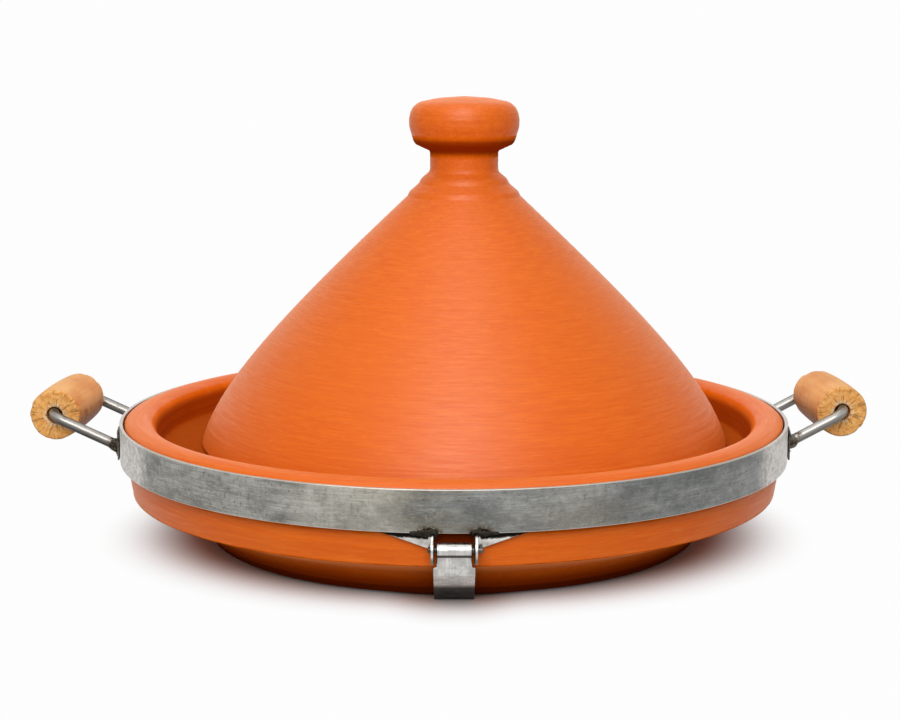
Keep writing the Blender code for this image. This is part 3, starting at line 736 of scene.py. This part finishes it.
def lid_outline():
    cone = [cone_point(step / CONE_STEPS) for step in range(CONE_STEPS + 1)]
    inside = [point - outward * LID_WALL for point, outward in cone[:0:-1]]
    cone = [point for point, _ in cone[:-1]]
    ceiling = (0, inside[0].y + CEILING_RISE)
    foot = [(LID_RADIUS - LID_WALL, 0), (LID_RADIUS - LID_FOOT_ROUND, 0)]
    step_depth = (CONE_TOP_RADIUS - NECK_RADIUS) / 2
    top = []
    for step in range(2):
        radius = CONE_TOP_RADIUS - step * step_depth
        height = CONE_HEIGHT + step * STEP_HEIGHT
        top.append(((radius, height), 0.6 * MM))
        top.append(((radius - STEP_LEAN, height + STEP_RISER), 1.2 * MM))
    neck_foot = CONE_HEIGHT + 2 * STEP_HEIGHT
    knob_low = neck_foot + NECK_LENGTH + KNOB_UNDERCUT
    knob_middle = knob_low + KNOB_SWELL
    knob_top = knob_middle + KNOB_FALL
    top += [
        ((NECK_RADIUS, neck_foot), NECK_ROUND),
        ((NECK_RADIUS, neck_foot + NECK_LENGTH), NECK_TOP_ROUND),
        ((KNOB_LOW_RADIUS, knob_low), KNOB_LOW_ROUND),
        ((KNOB_RADIUS, knob_middle), KNOB_ROUND),
        ((KNOB_TOP_RADIUS, knob_top), KNOB_TOP_ROUND),
        ((KNOB_TOP_RADIUS / 2, knob_top + KNOB_CROWN * 3 / 4), 30 * MM),
        ((0, knob_top + KNOB_CROWN), 0),
    ]
    bends = rounded([(cone[-1], 0)] + top)
    return dense([ceiling] + inside + foot, 4 * MM) + dense(cone + bends[1:], 0.8 * MM)


def dish_outline():
    slope_rise = DISH_TOP - LEDGE_Z - RIM_ROUND * (1 - cos(LEDGE_SLOPE))
    rim_middle = LEDGE_RADIUS + slope_rise / tan(LEDGE_SLOPE) + RIM_ROUND * sin(LEDGE_SLOPE)
    outside = rounded([
        ((0, DISH_BASE), 0),
        ((FOOT_RADIUS, DISH_BASE), 1.5 * MM),
        ((FLARE_RADIUS, DISH_BASE + FLARE_HEIGHT), 20 * MM),
        ((RIDGE_RADIUS, RIDGE_Z), 0.8 * MM),
        ((WALL_RADIUS, RIDGE_Z + WALL_TURN_RISE), 24 * MM),
        ((WALL_RADIUS, COLLAR_Z), 0.6 * MM),
        ((WALL_RADIUS + COLLAR_STEP, COLLAR_Z + COLLAR_STEP), 0.6 * MM),
        ((WALL_RADIUS + COLLAR_STEP, DISH_TOP - RIM_ROUND), 0),
    ])
    rim = arc((rim_middle, DISH_TOP - RIM_ROUND), RIM_ROUND, RIM_EDGE_ANGLE, pi / 2 + LEDGE_SLOPE, 30)
    inside = rounded([
        (rim[-1], 0),
        ((LEDGE_RADIUS, LEDGE_Z), 1.5 * MM),
        ((LEDGE_END, LEDGE_Z), 1.5 * MM),
        ((LEDGE_END, DISH_FLOOR), BOWL_ROUND),
        ((0, DISH_FLOOR), 0),
    ])
    return dense(outside[:-1] + rim + inside[1:], 0.9 * MM)


def knob_painted_shade(clay):
    """Painted shade on the neck just below the knob."""
    middle = LID_BASE + CONE_HEIGHT + 2 * STEP_HEIGHT + NECK_LENGTH + 2.2 * MM
    return clay.spread(clay.off(clay.at(2), middle), 1.5 * MM, 6 * MM, 0.9, 0)


def dish_painted_shade(clay):
    """Painted shade on the dish, from 0 to 1: in the channel, on the underside, in lines just under the
    hoop and along the ridge, and on the wall behind the clips. Below the ridge the clay also loses its
    sheen.
    """
    away = clay.away()
    height = clay.at(2)
    ring = clay.times(clay.spread(away, *CHANNEL_OUTSIDE), clay.spread(away, *CHANNEL_INSIDE))
    inner = clay.spread(height, DISH_TOP - 1 * MM, DISH_TOP - 7 * MM, 0, 0.75)
    above = clay.spread(height, LEDGE_Z - 6 * MM, LEDGE_Z - 3 * MM)
    channel = clay.times(clay.times(ring, inner), above)
    foot = clay.spread(height, DISH_BASE + 15 * MM, DISH_BASE + 2 * MM)
    underneath = clay.times(foot, clay.spread(away, *UNDERSIDE))
    matt = clay.spread(height, RIDGE_Z + 0.5 * MM, RIDGE_Z - 1 * MM, 0, 0.12)
    total = clay.most(clay.most(channel, matt), underneath)
    shade_noise = clay.cloud(90, 3, 0.6, 4.0)
    # Painted shadow in a ragged line just under the hoop, and painted shade along the ridge.
    seam = clay.spread(height, BAND_LOW - 3 * MM, BAND_LOW - 0.3 * MM, 0, 0.6)
    seam = clay.times(seam, clay.spread(height, BAND_HIGH - 3 * MM, BAND_HIGH - 4 * MM))
    crest = clay.spread(clay.off(height, RIDGE_Z), 0.2 * MM, 0.7 * MM, 0.55, 0)
    lines = clay.times(clay.most(seam, crest), clay.spread(shade_noise, 0.35, 0.65, 0.25, 1))
    total = clay.most(total, clay.times(lines, clay.spread(away, *OUTER_WALL)))
    ragged = clay.times(clay.minus(shade_noise, 0.5), 12 * MM)
    below = clay.spread(clay.plus(height, ragged), BAND_LOW, BAND_LOW + 6 * MM, 1, 0)
    # Painted shade on the wall behind each clip, below the hoop, with a ragged edge.
    for spin in CLIP_SPINS.values():
        behind = spin @ Vector((0, -WALL_RADIUS, BAND_LOW - 1 * MM))
        off = clay.plus(clay.away(behind, (1, 1, 0.55)), ragged)
        total = clay.most(total, clay.times(clay.spread(off, 6 * MM, 13 * MM, 1, 0), below))
    return total


def build_pottery():
    outline = lid_outline()
    top = max(point.y for point in outline)
    lid_lines = throwing(3, 0.05 * MM, 0.1 * MM)

    def lid_relief(angle, length, radius, height):
        fade = np.clip(height / (6 * MM), 0, 1) * np.clip((top - height) / (3 * MM), 0.3, 1)
        return lid_lines(angle, length) * fade

    mesh = turned("lid_shell", outline, LID_SIDES, lid_relief)
    mesh.transform(Matrix.Translation((LID_SHIFT, 0, LID_BASE)))
    clay = terracotta("lid_clay", LID_SHIFT, 0.7, knob_painted_shade)
    add_piece("lid_shell", mesh, clay, "lid", ["lid"])

    dish_lines = throwing(8, 0.05 * MM, 0.08 * MM)

    def dish_relief(angle, length, radius, height):
        fade = np.clip((height - DISH_BASE) / (3 * MM), 0, 1)
        on_ledge = (abs(height - LEDGE_Z) < 1 * MM) & (radius < LEDGE_RADIUS)
        return dish_lines(angle, length) * np.where(on_ledge, 0, fade)

    mesh = turned("dish_shell", dish_outline(), DISH_SIDES, dish_relief)
    clay = terracotta("dish_clay", 0.0, 2.3, dish_painted_shade)
    add_piece("dish_shell", mesh, clay, "dish", ["dish"])


def near_welds(metal):
    """How black the hoop is, by its distance to the hinge ears and the handle plates."""
    ears = [Vector((side * EAR_SOOT_ASIDE, -BAND_RADIUS, BAND_LOW - 0.5 * MM)) for side in (-1, 1)]
    places = [(spin @ ear, EAR_SOOT) for spin in CLIP_SPINS.values() for ear in ears]
    places += [(weld_place(side, end), WELD_SOOT[side]) for side in ("left", "right") for end in (-1, 1)]
    total = 0.0
    for place, reach in places:
        away = metal.away(place, (0.8, 0.8, 1.3))
        total = metal.plus(total, metal.spread(away, 0.1 * reach, reach, 1, 0))
    warp = metal.cloud(520, 5, 0.7, 4.0)
    return metal.times(total, metal.spread(warp, 0.38, 0.56, 0.15, 1.3), clamp=True)


def weld_place(side, end):
    """Where a wire meets the face of its plate. end is 1 for the rear leg, -1 for the front."""
    axis = Vector(joints[side + "_grip_turn"]["axis"])
    outward = Vector((axis.y, -axis.x, 0)) * (1 if side == "right" else -1)
    face = BAND_RADIUS + GAP + PAD_THICK
    aside = asin(HANDLE_HALF / face)
    flat = outward * face * cos(aside) + axis * end * HANDLE_HALF
    return Vector((flat.x, flat.y, BAND_HIGH - WELD_DROP[side]))


def build_hoop():
    high = [(BAND_RADIUS, BAND_HALF), (BAND_INSIDE, BAND_HALF)]
    low = [(BAND_INSIDE, -BAND_HALF), (BAND_RADIUS, -BAND_HALF)]
    start = ((BAND_RADIUS, 0), 0)
    corners = [start] + [(edge, BAND_EDGE) for edge in high + low] + [start]
    outline = dense(rounded(corners, 0.15 * MM), 1.2 * MM)[:-1]
    draw = np.random.default_rng(5)
    bends = [(draw.integers(5, 40), draw.uniform(0, tau), draw.uniform(-200, 200)) for _ in range(8)]

    def relief(angle, length, radius, height):
        uneven = sum(np.cos(count * angle + phase + rate * height) for count, phase, rate in bends)
        off_seam = np.abs((angle - pi / 2) * BAND_RADIUS)
        bead = SEAM_PROUD * np.sqrt(np.clip(1 - (off_seam / (SEAM_WIDTH / 2)) ** 2, 0, 1))
        ripple = 1 + 0.25 * np.sin(height / (0.55 * MM))
        outside = (radius > BAND_RADIUS - 0.1 * MM) * np.clip((BAND_HALF - np.abs(height)) / (1 * MM), 0, 1)
        return 0.05 * MM * uneven / 3 * outside + bead * ripple * outside

    mesh = turned("hoop", outline, HOOP_SIDES, relief, closed=True)
    mesh.transform(Matrix.Translation((0, 0, BAND_MIDDLE)))
    add_piece("hoop", mesh, galvanised(), "carrier", ["rim_band"])


def wire_finish():
    """Drawn wire: painted light and shade by the way its surface faces, bright along its upper side and
    dark beneath and along its top; the right wire is painted lighter; burnt black at the hoop.
    """
    wire = Finish("wire_steel", 0.4, 1.0)
    mottle = wire.cloud(330, 5, 0.7, 2.0)
    # Painted light and shade: the tone follows which way the surface faces.
    up = wire.part(wire.add("TexCoord").outputs["Normal"], 2)
    ragged = wire.plus(up, wire.times(wire.minus(mottle, 0.5), 0.5))
    wire.tone = wire.mix(wire.spread(ragged, -0.6, 0.1), rgb(60, 56, 52), rgb(116, 112, 108))
    wire.lay(ragged, 0.15, 0.45, 1, 158, 155, 150)
    wire.lay(ragged, 0.5, 0.75, 1, 138, 134, 129)
    wire.lay(ragged, 0.8, 0.98, 1, 88, 84, 79)
    wire.lay(mottle, 0.56, 0.7, 0.5, 78, 72, 66)
    # Painted light: the right wire is lighter than the left.
    wire.lay(wire.at(0), -100 * MM, 100 * MM, 0.15, 205, 202, 196)
    near = wire.spread(wire.away(), BAND_RADIUS + 1 * MM, BAND_RADIUS + 9 * MM, 1, 0)
    black = wire.times(near, wire.spread(mottle, 0.42, 0.58, 0.1, 1.2), clamp=True)
    rough = blackened(wire, 0.4, black)
    wire.bump(mottle, 0.04 * MM)
    return wire.done(rough)


def weld_mesh(name, start, leg, draw):
    """The foot of a wire: a lump of weld with drops round it, on a small plate.

    start is where the wire meets the plate, and leg its direction from there.
    """
    outward = Vector((start.x, start.y, 0)).normalized()
    across = Vector((-outward.y, outward.x, 0))
    up = Vector((0, 0, 1))
    blobs = []
    for step in range(WELD_BLOBS):
        share = step / (WELD_BLOBS - 1)
        size = WELD_RADIUS * (1 - share) + (ROD_RADIUS + 0.25 * MM) * share
        size *= draw.uniform(0.9, 1.05)
        shift = Vector(draw.uniform(-0.3, 0.3, 3)) * MM
        blobs.append((start + leg * WELD_REACH * share + shift, (size, size, size * 0.95)))
    for _ in range(WELD_DROPS):
        angle = draw.uniform(0, tau)
        spot = start + (across * cos(angle) * 4.2 + up * sin(angle) * 5.2) * MM
        blobs.append((spot, Vector(draw.uniform(0.5, 1.1, 3)) * MM))
    weld = lumps("weld", blobs, WELD_VOXEL, draw.uniform(1, 50))

    middle = start - outward * PAD_THICK / 2
    middle.z = BAND_LOW + PAD_HEIGHT / 2
    turn = Matrix((outward, across, up)).transposed().to_4x4()
    sizes = Matrix.Diagonal((PAD_THICK, PAD_WIDTH, PAD_HEIGHT, 1))
    bm = bmesh.new()
    bmesh.ops.create_cube(bm, size=1, matrix=Matrix.Translation(middle) @ turn @ sizes)
    plate = soften(mesh_of(bm, "plate"), PAD_EDGE)

    bm = bmesh.new()
    bm.from_mesh(weld)
    every = bm.verts[:] + bm.edges[:] + bm.faces[:]
    back = start - outward * PAD_THICK
    cut = bmesh.ops.bisect_plane(bm, geom=every, plane_co=back, plane_no=-outward, clear_outer=True)
    rim = [item for item in cut["geom_cut"] if isinstance(item, bmesh.types.BMEdge)]
    bmesh.ops.holes_fill(bm, edges=rim)
    bm.from_mesh(plate)
    mesh = mesh_of(bm, name)
    mesh.shade_smooth()
    return mesh


def build_handles():
    draw = np.random.default_rng(11)
    wire_steel = wire_finish()
    weld_steel = steel("weld_steel", (52, 49, 45), (128, 123, 116), 0.45, near_welds, 3.0)
    for side in ("left", "right"):
        joint = joints[side + "_grip_turn"]
        axis = Vector(joint["axis"])
        centre = Vector(joint["pos_m"]) + Vector((0, 0, GRIP_SAG))
        corners = {end: centre + axis * end * HANDLE_HALF for end in (-1, 1)}
        starts = {end: weld_place(side, end) for end in (-1, 1)}
        legs = {end: (corners[end] - starts[end]).normalized() for end in (-1, 1)}
        tips = {end: starts[end] + legs[end] * 0.8 * MM for end in (-1, 1)}
        path = rounded([(tips[-1], 0), (corners[-1], ROD_BEND), (corners[1], ROD_BEND), (tips[1], 0)])
        mesh = tube(side + "_wire", dense(path, 1.2 * MM), ROD_RADIUS, WIRE_SIDES)
        add_piece(side + "_wire", mesh, wire_steel, "carrier", [side + "_handle_rod"])
        for end, where in ((-1, "front"), (1, "rear")):
            name = side + "_" + where
            mesh = weld_mesh(name + "_weld", starts[end], legs[end], draw)
            add_piece(name + "_weld", mesh, weld_steel, "carrier", [name + "_handle_pad"])
        build_grip(side, joint, wood(side + "_wood", 1.0 if side == "left" else 5.0))


def build_grip(side, joint, material):
    """A wooden roller. Its Z axis runs along the wire, to the rear."""
    half = GRIP_LENGTH / 2
    barrel = []
    for step in range(-20, 21):
        share = step / 20
        radius = GRIP_RADIUS - (GRIP_RADIUS - GRIP_END_RADIUS) * share ** 2
        barrel.append((radius, (half - GRIP_EDGE) * share))
    face = GRIP_END_RADIUS - GRIP_EDGE
    ends = [(face, half), (GRIP_BORE, half), (GRIP_BORE, -half), (face, -half), barrel[0]]
    outline = dense(barrel + ends, 0.5 * MM)[:-1]
    seed = 3.0 if side == "left" else 9.0

    def relief(angle, length, radius, height):
        """Chips at the ends' edges, and a fine grain all over."""
        out = np.zeros_like(radius)
        for (row, column), reach in np.ndenumerate(radius):
            turn, level = angle[0, column], height[row, column]
            if reach < GRIP_BORE + 0.1 * MM and abs(level) < half - 1 * MM:
                continue
            place = Vector((reach * cos(turn), reach * sin(turn), level))
            near_end = max(0, 1 - (half - abs(level)) / (4 * MM))
            near_edge = max(0, reach / GRIP_END_RADIUS - 0.6) * 2.5
            chip = max(0, noise.noise(place / (3.2 * MM) + Vector((seed, 0, 0))) - 0.05)
            grain = noise.fractal(Vector((place.x * 900, place.y * 900, place.z * 60 + seed)), 1, 2, 3)
            out[row, column] = grain * 0.04 * MM - near_end * near_edge * chip * 0.9 * MM
        return out

    mesh = turned(side + "_roller", outline, GRIP_SIDES, relief, closed=True)
    turn = Vector((0, 0, 1)).rotation_difference(Vector(joint["axis"])).to_matrix().to_4x4()
    place = Matrix.Translation(joint["pos_m"]) @ turn
    add_piece(side + "_roller", mesh, material, side + "_grip", [side + "_grip"], place)


def clip_path():
    """The strap's path from its lap, round the pin, down and in to its toe. The pin is at 0."""
    eye_radius = PIN_RADIUS + GAP + STRIP_THICK / 2
    strap = -eye_radius
    lap = strap + STRIP_THICK + 0.05 * MM
    toe_level = STRIP_THICK / 2 - PIN_Z
    heel = Vector((FOOT_RADIUS + TOE_CLEARANCE - PIN_DISTANCE, toe_level))
    ridge = Vector((RIDGE_RADIUS - PIN_DISTANCE, RIDGE_Z - PIN_Z)) - heel
    clearance = RIDGE_CLEARANCE + STRIP_THICK / 2
    slope = atan2(ridge.y, ridge.x) - asin(clearance / ridge.length)
    knee = Vector((strap, heel.y + (strap - heel.x) * tan(slope)))
    lap_end = knee.y + KNEE_ROUND * tan((pi / 2 - slope) / 2) + 0.7 * MM
    half_eye, half_strap = EYE_WIDTH / 2, CLIP_WIDTH / 2
    touch = eye_radius * cos(LAP_ANGLE)
    crease = -eye_radius * sin(LAP_ANGLE) - (touch - lap) / tan(LAP_ANGLE)
    eye = [(lap, lap_end)] + dense([(lap, lap_end + 0.01 * MM), (lap, crease)], 1 * MM)[1:]
    eye += arc((0, 0), eye_radius, -LAP_ANGLE, pi, 40)
    eye.append((strap, lap_end + 0.4 * MM))
    tip = FOOT_RADIUS - TOE_REACH - PIN_DISTANCE
    foot = rounded([
        ((strap, lap_end), 0), (knee, KNEE_ROUND), (heel, TOE_ROUND), ((tip + 3 * MM, toe_level), 0),
    ], 0.4 * MM)
    path = [(outward, up, -half_eye, half_eye) for outward, up in eye]
    path += [(outward, up, -half_strap, half_strap) for outward, up in foot]
    return path + [(tip, toe_level, -half_strap + 2.5 * MM, half_strap - 2.5 * MM)]


def lug_path():
    """The lug's path from its wing's tip to its ear's nose, from above. The pin is at 0."""
    wing_radius = BAND_INSIDE - GAP - STRIP_THICK / 2
    wing_low = BAND_LOW - 0.4 * MM - PIN_Z
    wing_high = BAND_LOW + WING_LAP - PIN_Z
    ear_high = BAND_LOW - 0.05 * MM - PIN_Z
    root_low = 0.3 * MM
    root = EAR_MIDDLE + LUG_BEND + STRIP_THICK
    path = []
    for step in range(25):
        share = step / 24
        aside = WING_REACH + (root - WING_REACH) * share
        outward = sqrt(wing_radius ** 2 - aside ** 2) - PIN_DISTANCE
        path.append((aside, outward, wing_low + (root_low - wing_low) * share ** 1.15, wing_high))
    fold = (EAR_MIDDLE, sqrt(wing_radius ** 2 - EAR_MIDDLE ** 2) - PIN_DISTANCE)
    turn = rounded([(path[-1][:2], 0), (fold, LUG_BEND), ((EAR_MIDDLE, EAR_NOSE), 0)], 0.3 * MM)[1:-1]
    for step, point in enumerate(turn):
        share = (step + 1) / len(turn)
        path.append((point.x, point.y, root_low - (EAR_NOSE + root_low) * share, ear_high))
    slope_end = radians(35)
    first, last = 1.6 * MM, EAR_NOSE * cos(slope_end)
    fall = (ear_high - EAR_NOSE * sin(slope_end)) / (last - first)
    for step in range(8):
        outward = last * step / 8
        high = ear_high - fall * max(outward - first, 0)
        path.append((EAR_MIDDLE, outward, -sqrt(EAR_NOSE ** 2 - outward ** 2), high))
    for step in range(12):
        angle = slope_end * (1 - step / 12)
        half = EAR_NOSE * sin(angle)
        path.append((EAR_MIDDLE, EAR_NOSE * cos(angle), -half, half))
    return path


def burn_and_shade(metal):
    """Black next to the hoop, partly burnt by welding and partly painted shadow: the ears' top, and the
    wings down to their bright edge. Painted shade on the ears' inner halves, and darker on the ears below
    the pin.
    """
    aside = metal.off(metal.at(0))
    height = metal.at(2)
    outer = metal.most(metal.minus(aside, 10 * MM), 0.0)
    level = metal.minus(height, metal.times(outer, 0.06))
    level = metal.minus(level, metal.spread(aside, 9.5 * MM, 11 * MM, 2.3 * MM, 0))
    ragged = metal.plus(level, metal.times(metal.cloud(500, 4, 0.7, 6.0), 2 * MM))
    low = metal.spread(height, -4 * MM, 0, 0.5, 0)
    darker_low = metal.times(low, metal.spread(aside, 9.6 * MM, 10.6 * MM, 1, 0))
    # Painted shade on the ears' inner halves, which face the clip's eye.
    inner = metal.spread(aside, EAR_MIDDLE - 0.4 * MM, EAR_MIDDLE, 0.8, 0)
    return metal.most(metal.spread(ragged, 4.2 * MM, 5.6 * MM), metal.most(darker_low, inner))


def strap_stain_and_shade(metal):
    """A faint heat stain on the strap's front, painted shade in the crease below its eye, and painted shade
    on the bend under the dish.
    """
    away = metal.away((0, 3 * MM - EAR_NOSE, -17 * MM), (1, 1, 1))
    warp = metal.cloud(700, 4, 0.7, 9.0)
    spot = metal.times(metal.spread(away, 1 * MM, 7 * MM, 0.5, 0), metal.spread(warp, 0.5, 0.62))
    height = metal.at(2)
    # Painted shade in the crease and on the bend under the dish.
    crease = metal.spread(metal.off(height, -2.4 * MM), 0.4 * MM, 1.3 * MM, 0.7, 0)
    bend = metal.spread(height, -24 * MM, -18 * MM, 1, 0)
    return metal.plus(metal.plus(spot, crease), bend, clamp=True)


def crust_mesh(side, draw):
    """The black weld between an ear and the hoop, lower towards the wing's tip."""
    blobs = []
    for step in range(CRUST_BLOBS):
        share = step / (CRUST_BLOBS - 1)
        tall = (CRUST_HEIGHT - CRUST_FALL * share) * draw.uniform(0.7, 1.2)
        wide = draw.uniform(0.8, 1.3) * MM
        aside = side * (CRUST_START + CRUST_LENGTH * share)
        spot = (aside, (0.5 + 0.5 * share) * MM, BAND_LOW - PIN_Z + tall * 0.1)
        blobs.append((spot, (wide, CRUST_DEPTH, tall)))
    return lumps("crust", blobs, CRUST_VOXEL, draw.uniform(1, 50))


def build_clips():
    clip_steel = steel("strap_steel", (168, 166, 162), (214, 212, 208), 0.28, strap_stain_and_shade, 4.0, (1500, 60, 60))
    lug_steel = steel("ear_steel", (178, 175, 170), (236, 233, 228), 0.3, burn_and_shade, 5.0, (60, 60, 900))
    pin_steel = steel("rivet_steel", (58, 54, 50), (120, 115, 109), 0.4, None, 6.0)
    crust_steel = steel("crust_steel", (20, 18, 16), (62, 56, 48), 0.5, None, 7.0)

    strap = bent_strip("strap", clip_path(), STRIP_THICK, lambda a, b, c: (c, -a, b))
    strap = soften(strap, STRIP_EDGE)
    ear_face = EAR_MIDDLE + STRIP_THICK / 2
    start, end = -ear_face - PIN_PROUD_LEFT, ear_face + PIN_PROUD_RIGHT
    pin_outline = rounded([
        ((0, start), 0), ((PIN_RADIUS, start), 0.5 * MM), ((PIN_RADIUS, end), 0.6 * MM), ((0, end), 0),
    ], 0.1 * MM)
    pin = turned("pin", dense(pin_outline, 1 * MM), PIN_SIDES)
    draw = np.random.default_rng(21)
    for name, spin in CLIP_SPINS.items():
        place = Matrix.Translation(spin @ Vector((0, -PIN_DISTANCE, PIN_Z))) @ spin
        lying = place @ Matrix.Rotation(pi / 2, 4, "Y")
        clip, pin_node = name + "_clip", name + "_hinge_pin"
        add_piece(name + "_strap", strap.copy(), clip_steel, clip, [clip], place)
        add_piece(name + "_rivet", pin.copy(), pin_steel, "carrier", [pin_node], lying)
        for word, side in (("left", -1), ("right", 1)):
            mesh = bent_strip("ear", lug_path(), STRIP_THICK, lambda a, b, c: (side * a, -b, c))
            mesh = soften(mesh, STRIP_EDGE)
            node = name + "_lug_" + word
            add_piece(name + "_ear_" + word, mesh, lug_steel, "carrier", [node], place)
            mesh = crust_mesh(side, draw)
            add_piece(name + "_crust_" + word, mesh, crust_steel, "carrier", [], place)


# Stage

def build_stage():
    """A pale floor that darkens round the tagine, painted with a warm shadow tint there, a white surround,
    soft lamps and the camera.
    """
    bpy.ops.mesh.primitive_circle_add(vertices=96, radius=FLOOR_RADIUS, fill_type="NGON")
    floor = bpy.context.active_object
    floor.name = "floor"
    pale = Finish("floor_pale", 0.9)
    ahead = pale.at(1)
    near_toe = pale.spread(pale.off(pale.at(0)), 6 * MM, 34 * MM, 1, 0)
    toe = pale.times(near_toe, pale.spread(ahead, -100 * MM, -80 * MM, TOE_SHADOW, 0))
    forward = pale.spread(ahead, -90 * MM, 0, FRONT_SHORTENING, 1)
    scale = pale.add("CombineXYZ", ((0, SIDE_SHORTENING), (1, forward))).outputs[0]
    away = pale.minus(pale.away(scale=scale), toe)
    open_floor = pale.spread(away, SHADOW_START, SHADOW_END)
    seen = pale.seen()
    # Painted shadow tint: close to the tagine the floor's colour turns warm, and white further out.
    colour = pale.mix(seen, FLOOR_GREY, pale.mix(open_floor, FLOOR_SHADOW_TINT, FLOOR_WHITE))
    diffuse = pale.add("BsdfDiffuse", (("Color", colour),)).outputs[0]
    glow = pale.add("Emission", (("Color", (1, 1, 1, 1)), ("Strength", WHITE_LEVEL))).outputs[0]
    white = pale.times(open_floor, seen)
    shader = pale.add("MixShader", ((0, white), (1, diffuse), (2, glow))).outputs[0]
    pale.link(shader, pale.nodes["Material Output"].inputs["Surface"])
    floor.data.materials.append(pale.material)

    world = bpy.data.worlds.new("surround")
    world.use_nodes = True
    scene.world = world
    around = Nodes(world.node_tree)
    background = around.nodes["Background"].inputs
    background["Color"].default_value = (1, 1, 1, 1)
    level = around.spread(around.seen(), 0, 1, WORLD_LEVEL, WHITE_LEVEL)
    around.link(level, background["Strength"])

    for name, place, aim, size, power in LAMPS:
        lamp = bpy.data.lights.new(name, "AREA")
        lamp.shape = "RECTANGLE"
        lamp.size, lamp.size_y = size
        lamp.energy = power
        holder = new_object(name, lamp)
        holder.location = place
        holder.rotation_euler = (Vector(aim) - Vector(place)).to_track_quat("-Z", "Y").to_euler()
        holder.visible_glossy = name != "rear_fill"
        if name == "clay_sheen":
            pottery = bpy.data.collections.new("pottery")
            for piece in ("lid_shell", "dish_shell"):
                pottery.objects.link(bpy.data.objects[piece])
            holder.light_linking.receiver_collection = pottery
            holder.visible_diffuse = False

    lens = bpy.data.cameras.new("camera")
    lens.lens = LENS
    lens.clip_start, lens.clip_end = 0.01, 20
    camera = new_object("camera", lens)
    back = Vector((0, -cos(VIEW_ELEVATION), sin(VIEW_ELEVATION)))
    camera.location = VIEW_AIM + back * VIEW_DISTANCE
    camera.rotation_euler = (pi / 2 - VIEW_ELEVATION, 0, 0)
    scene.camera = camera
    scene.view_settings.view_transform = "Standard"


build_pottery()
build_hoop()
build_handles()
build_clips()
build_stage()
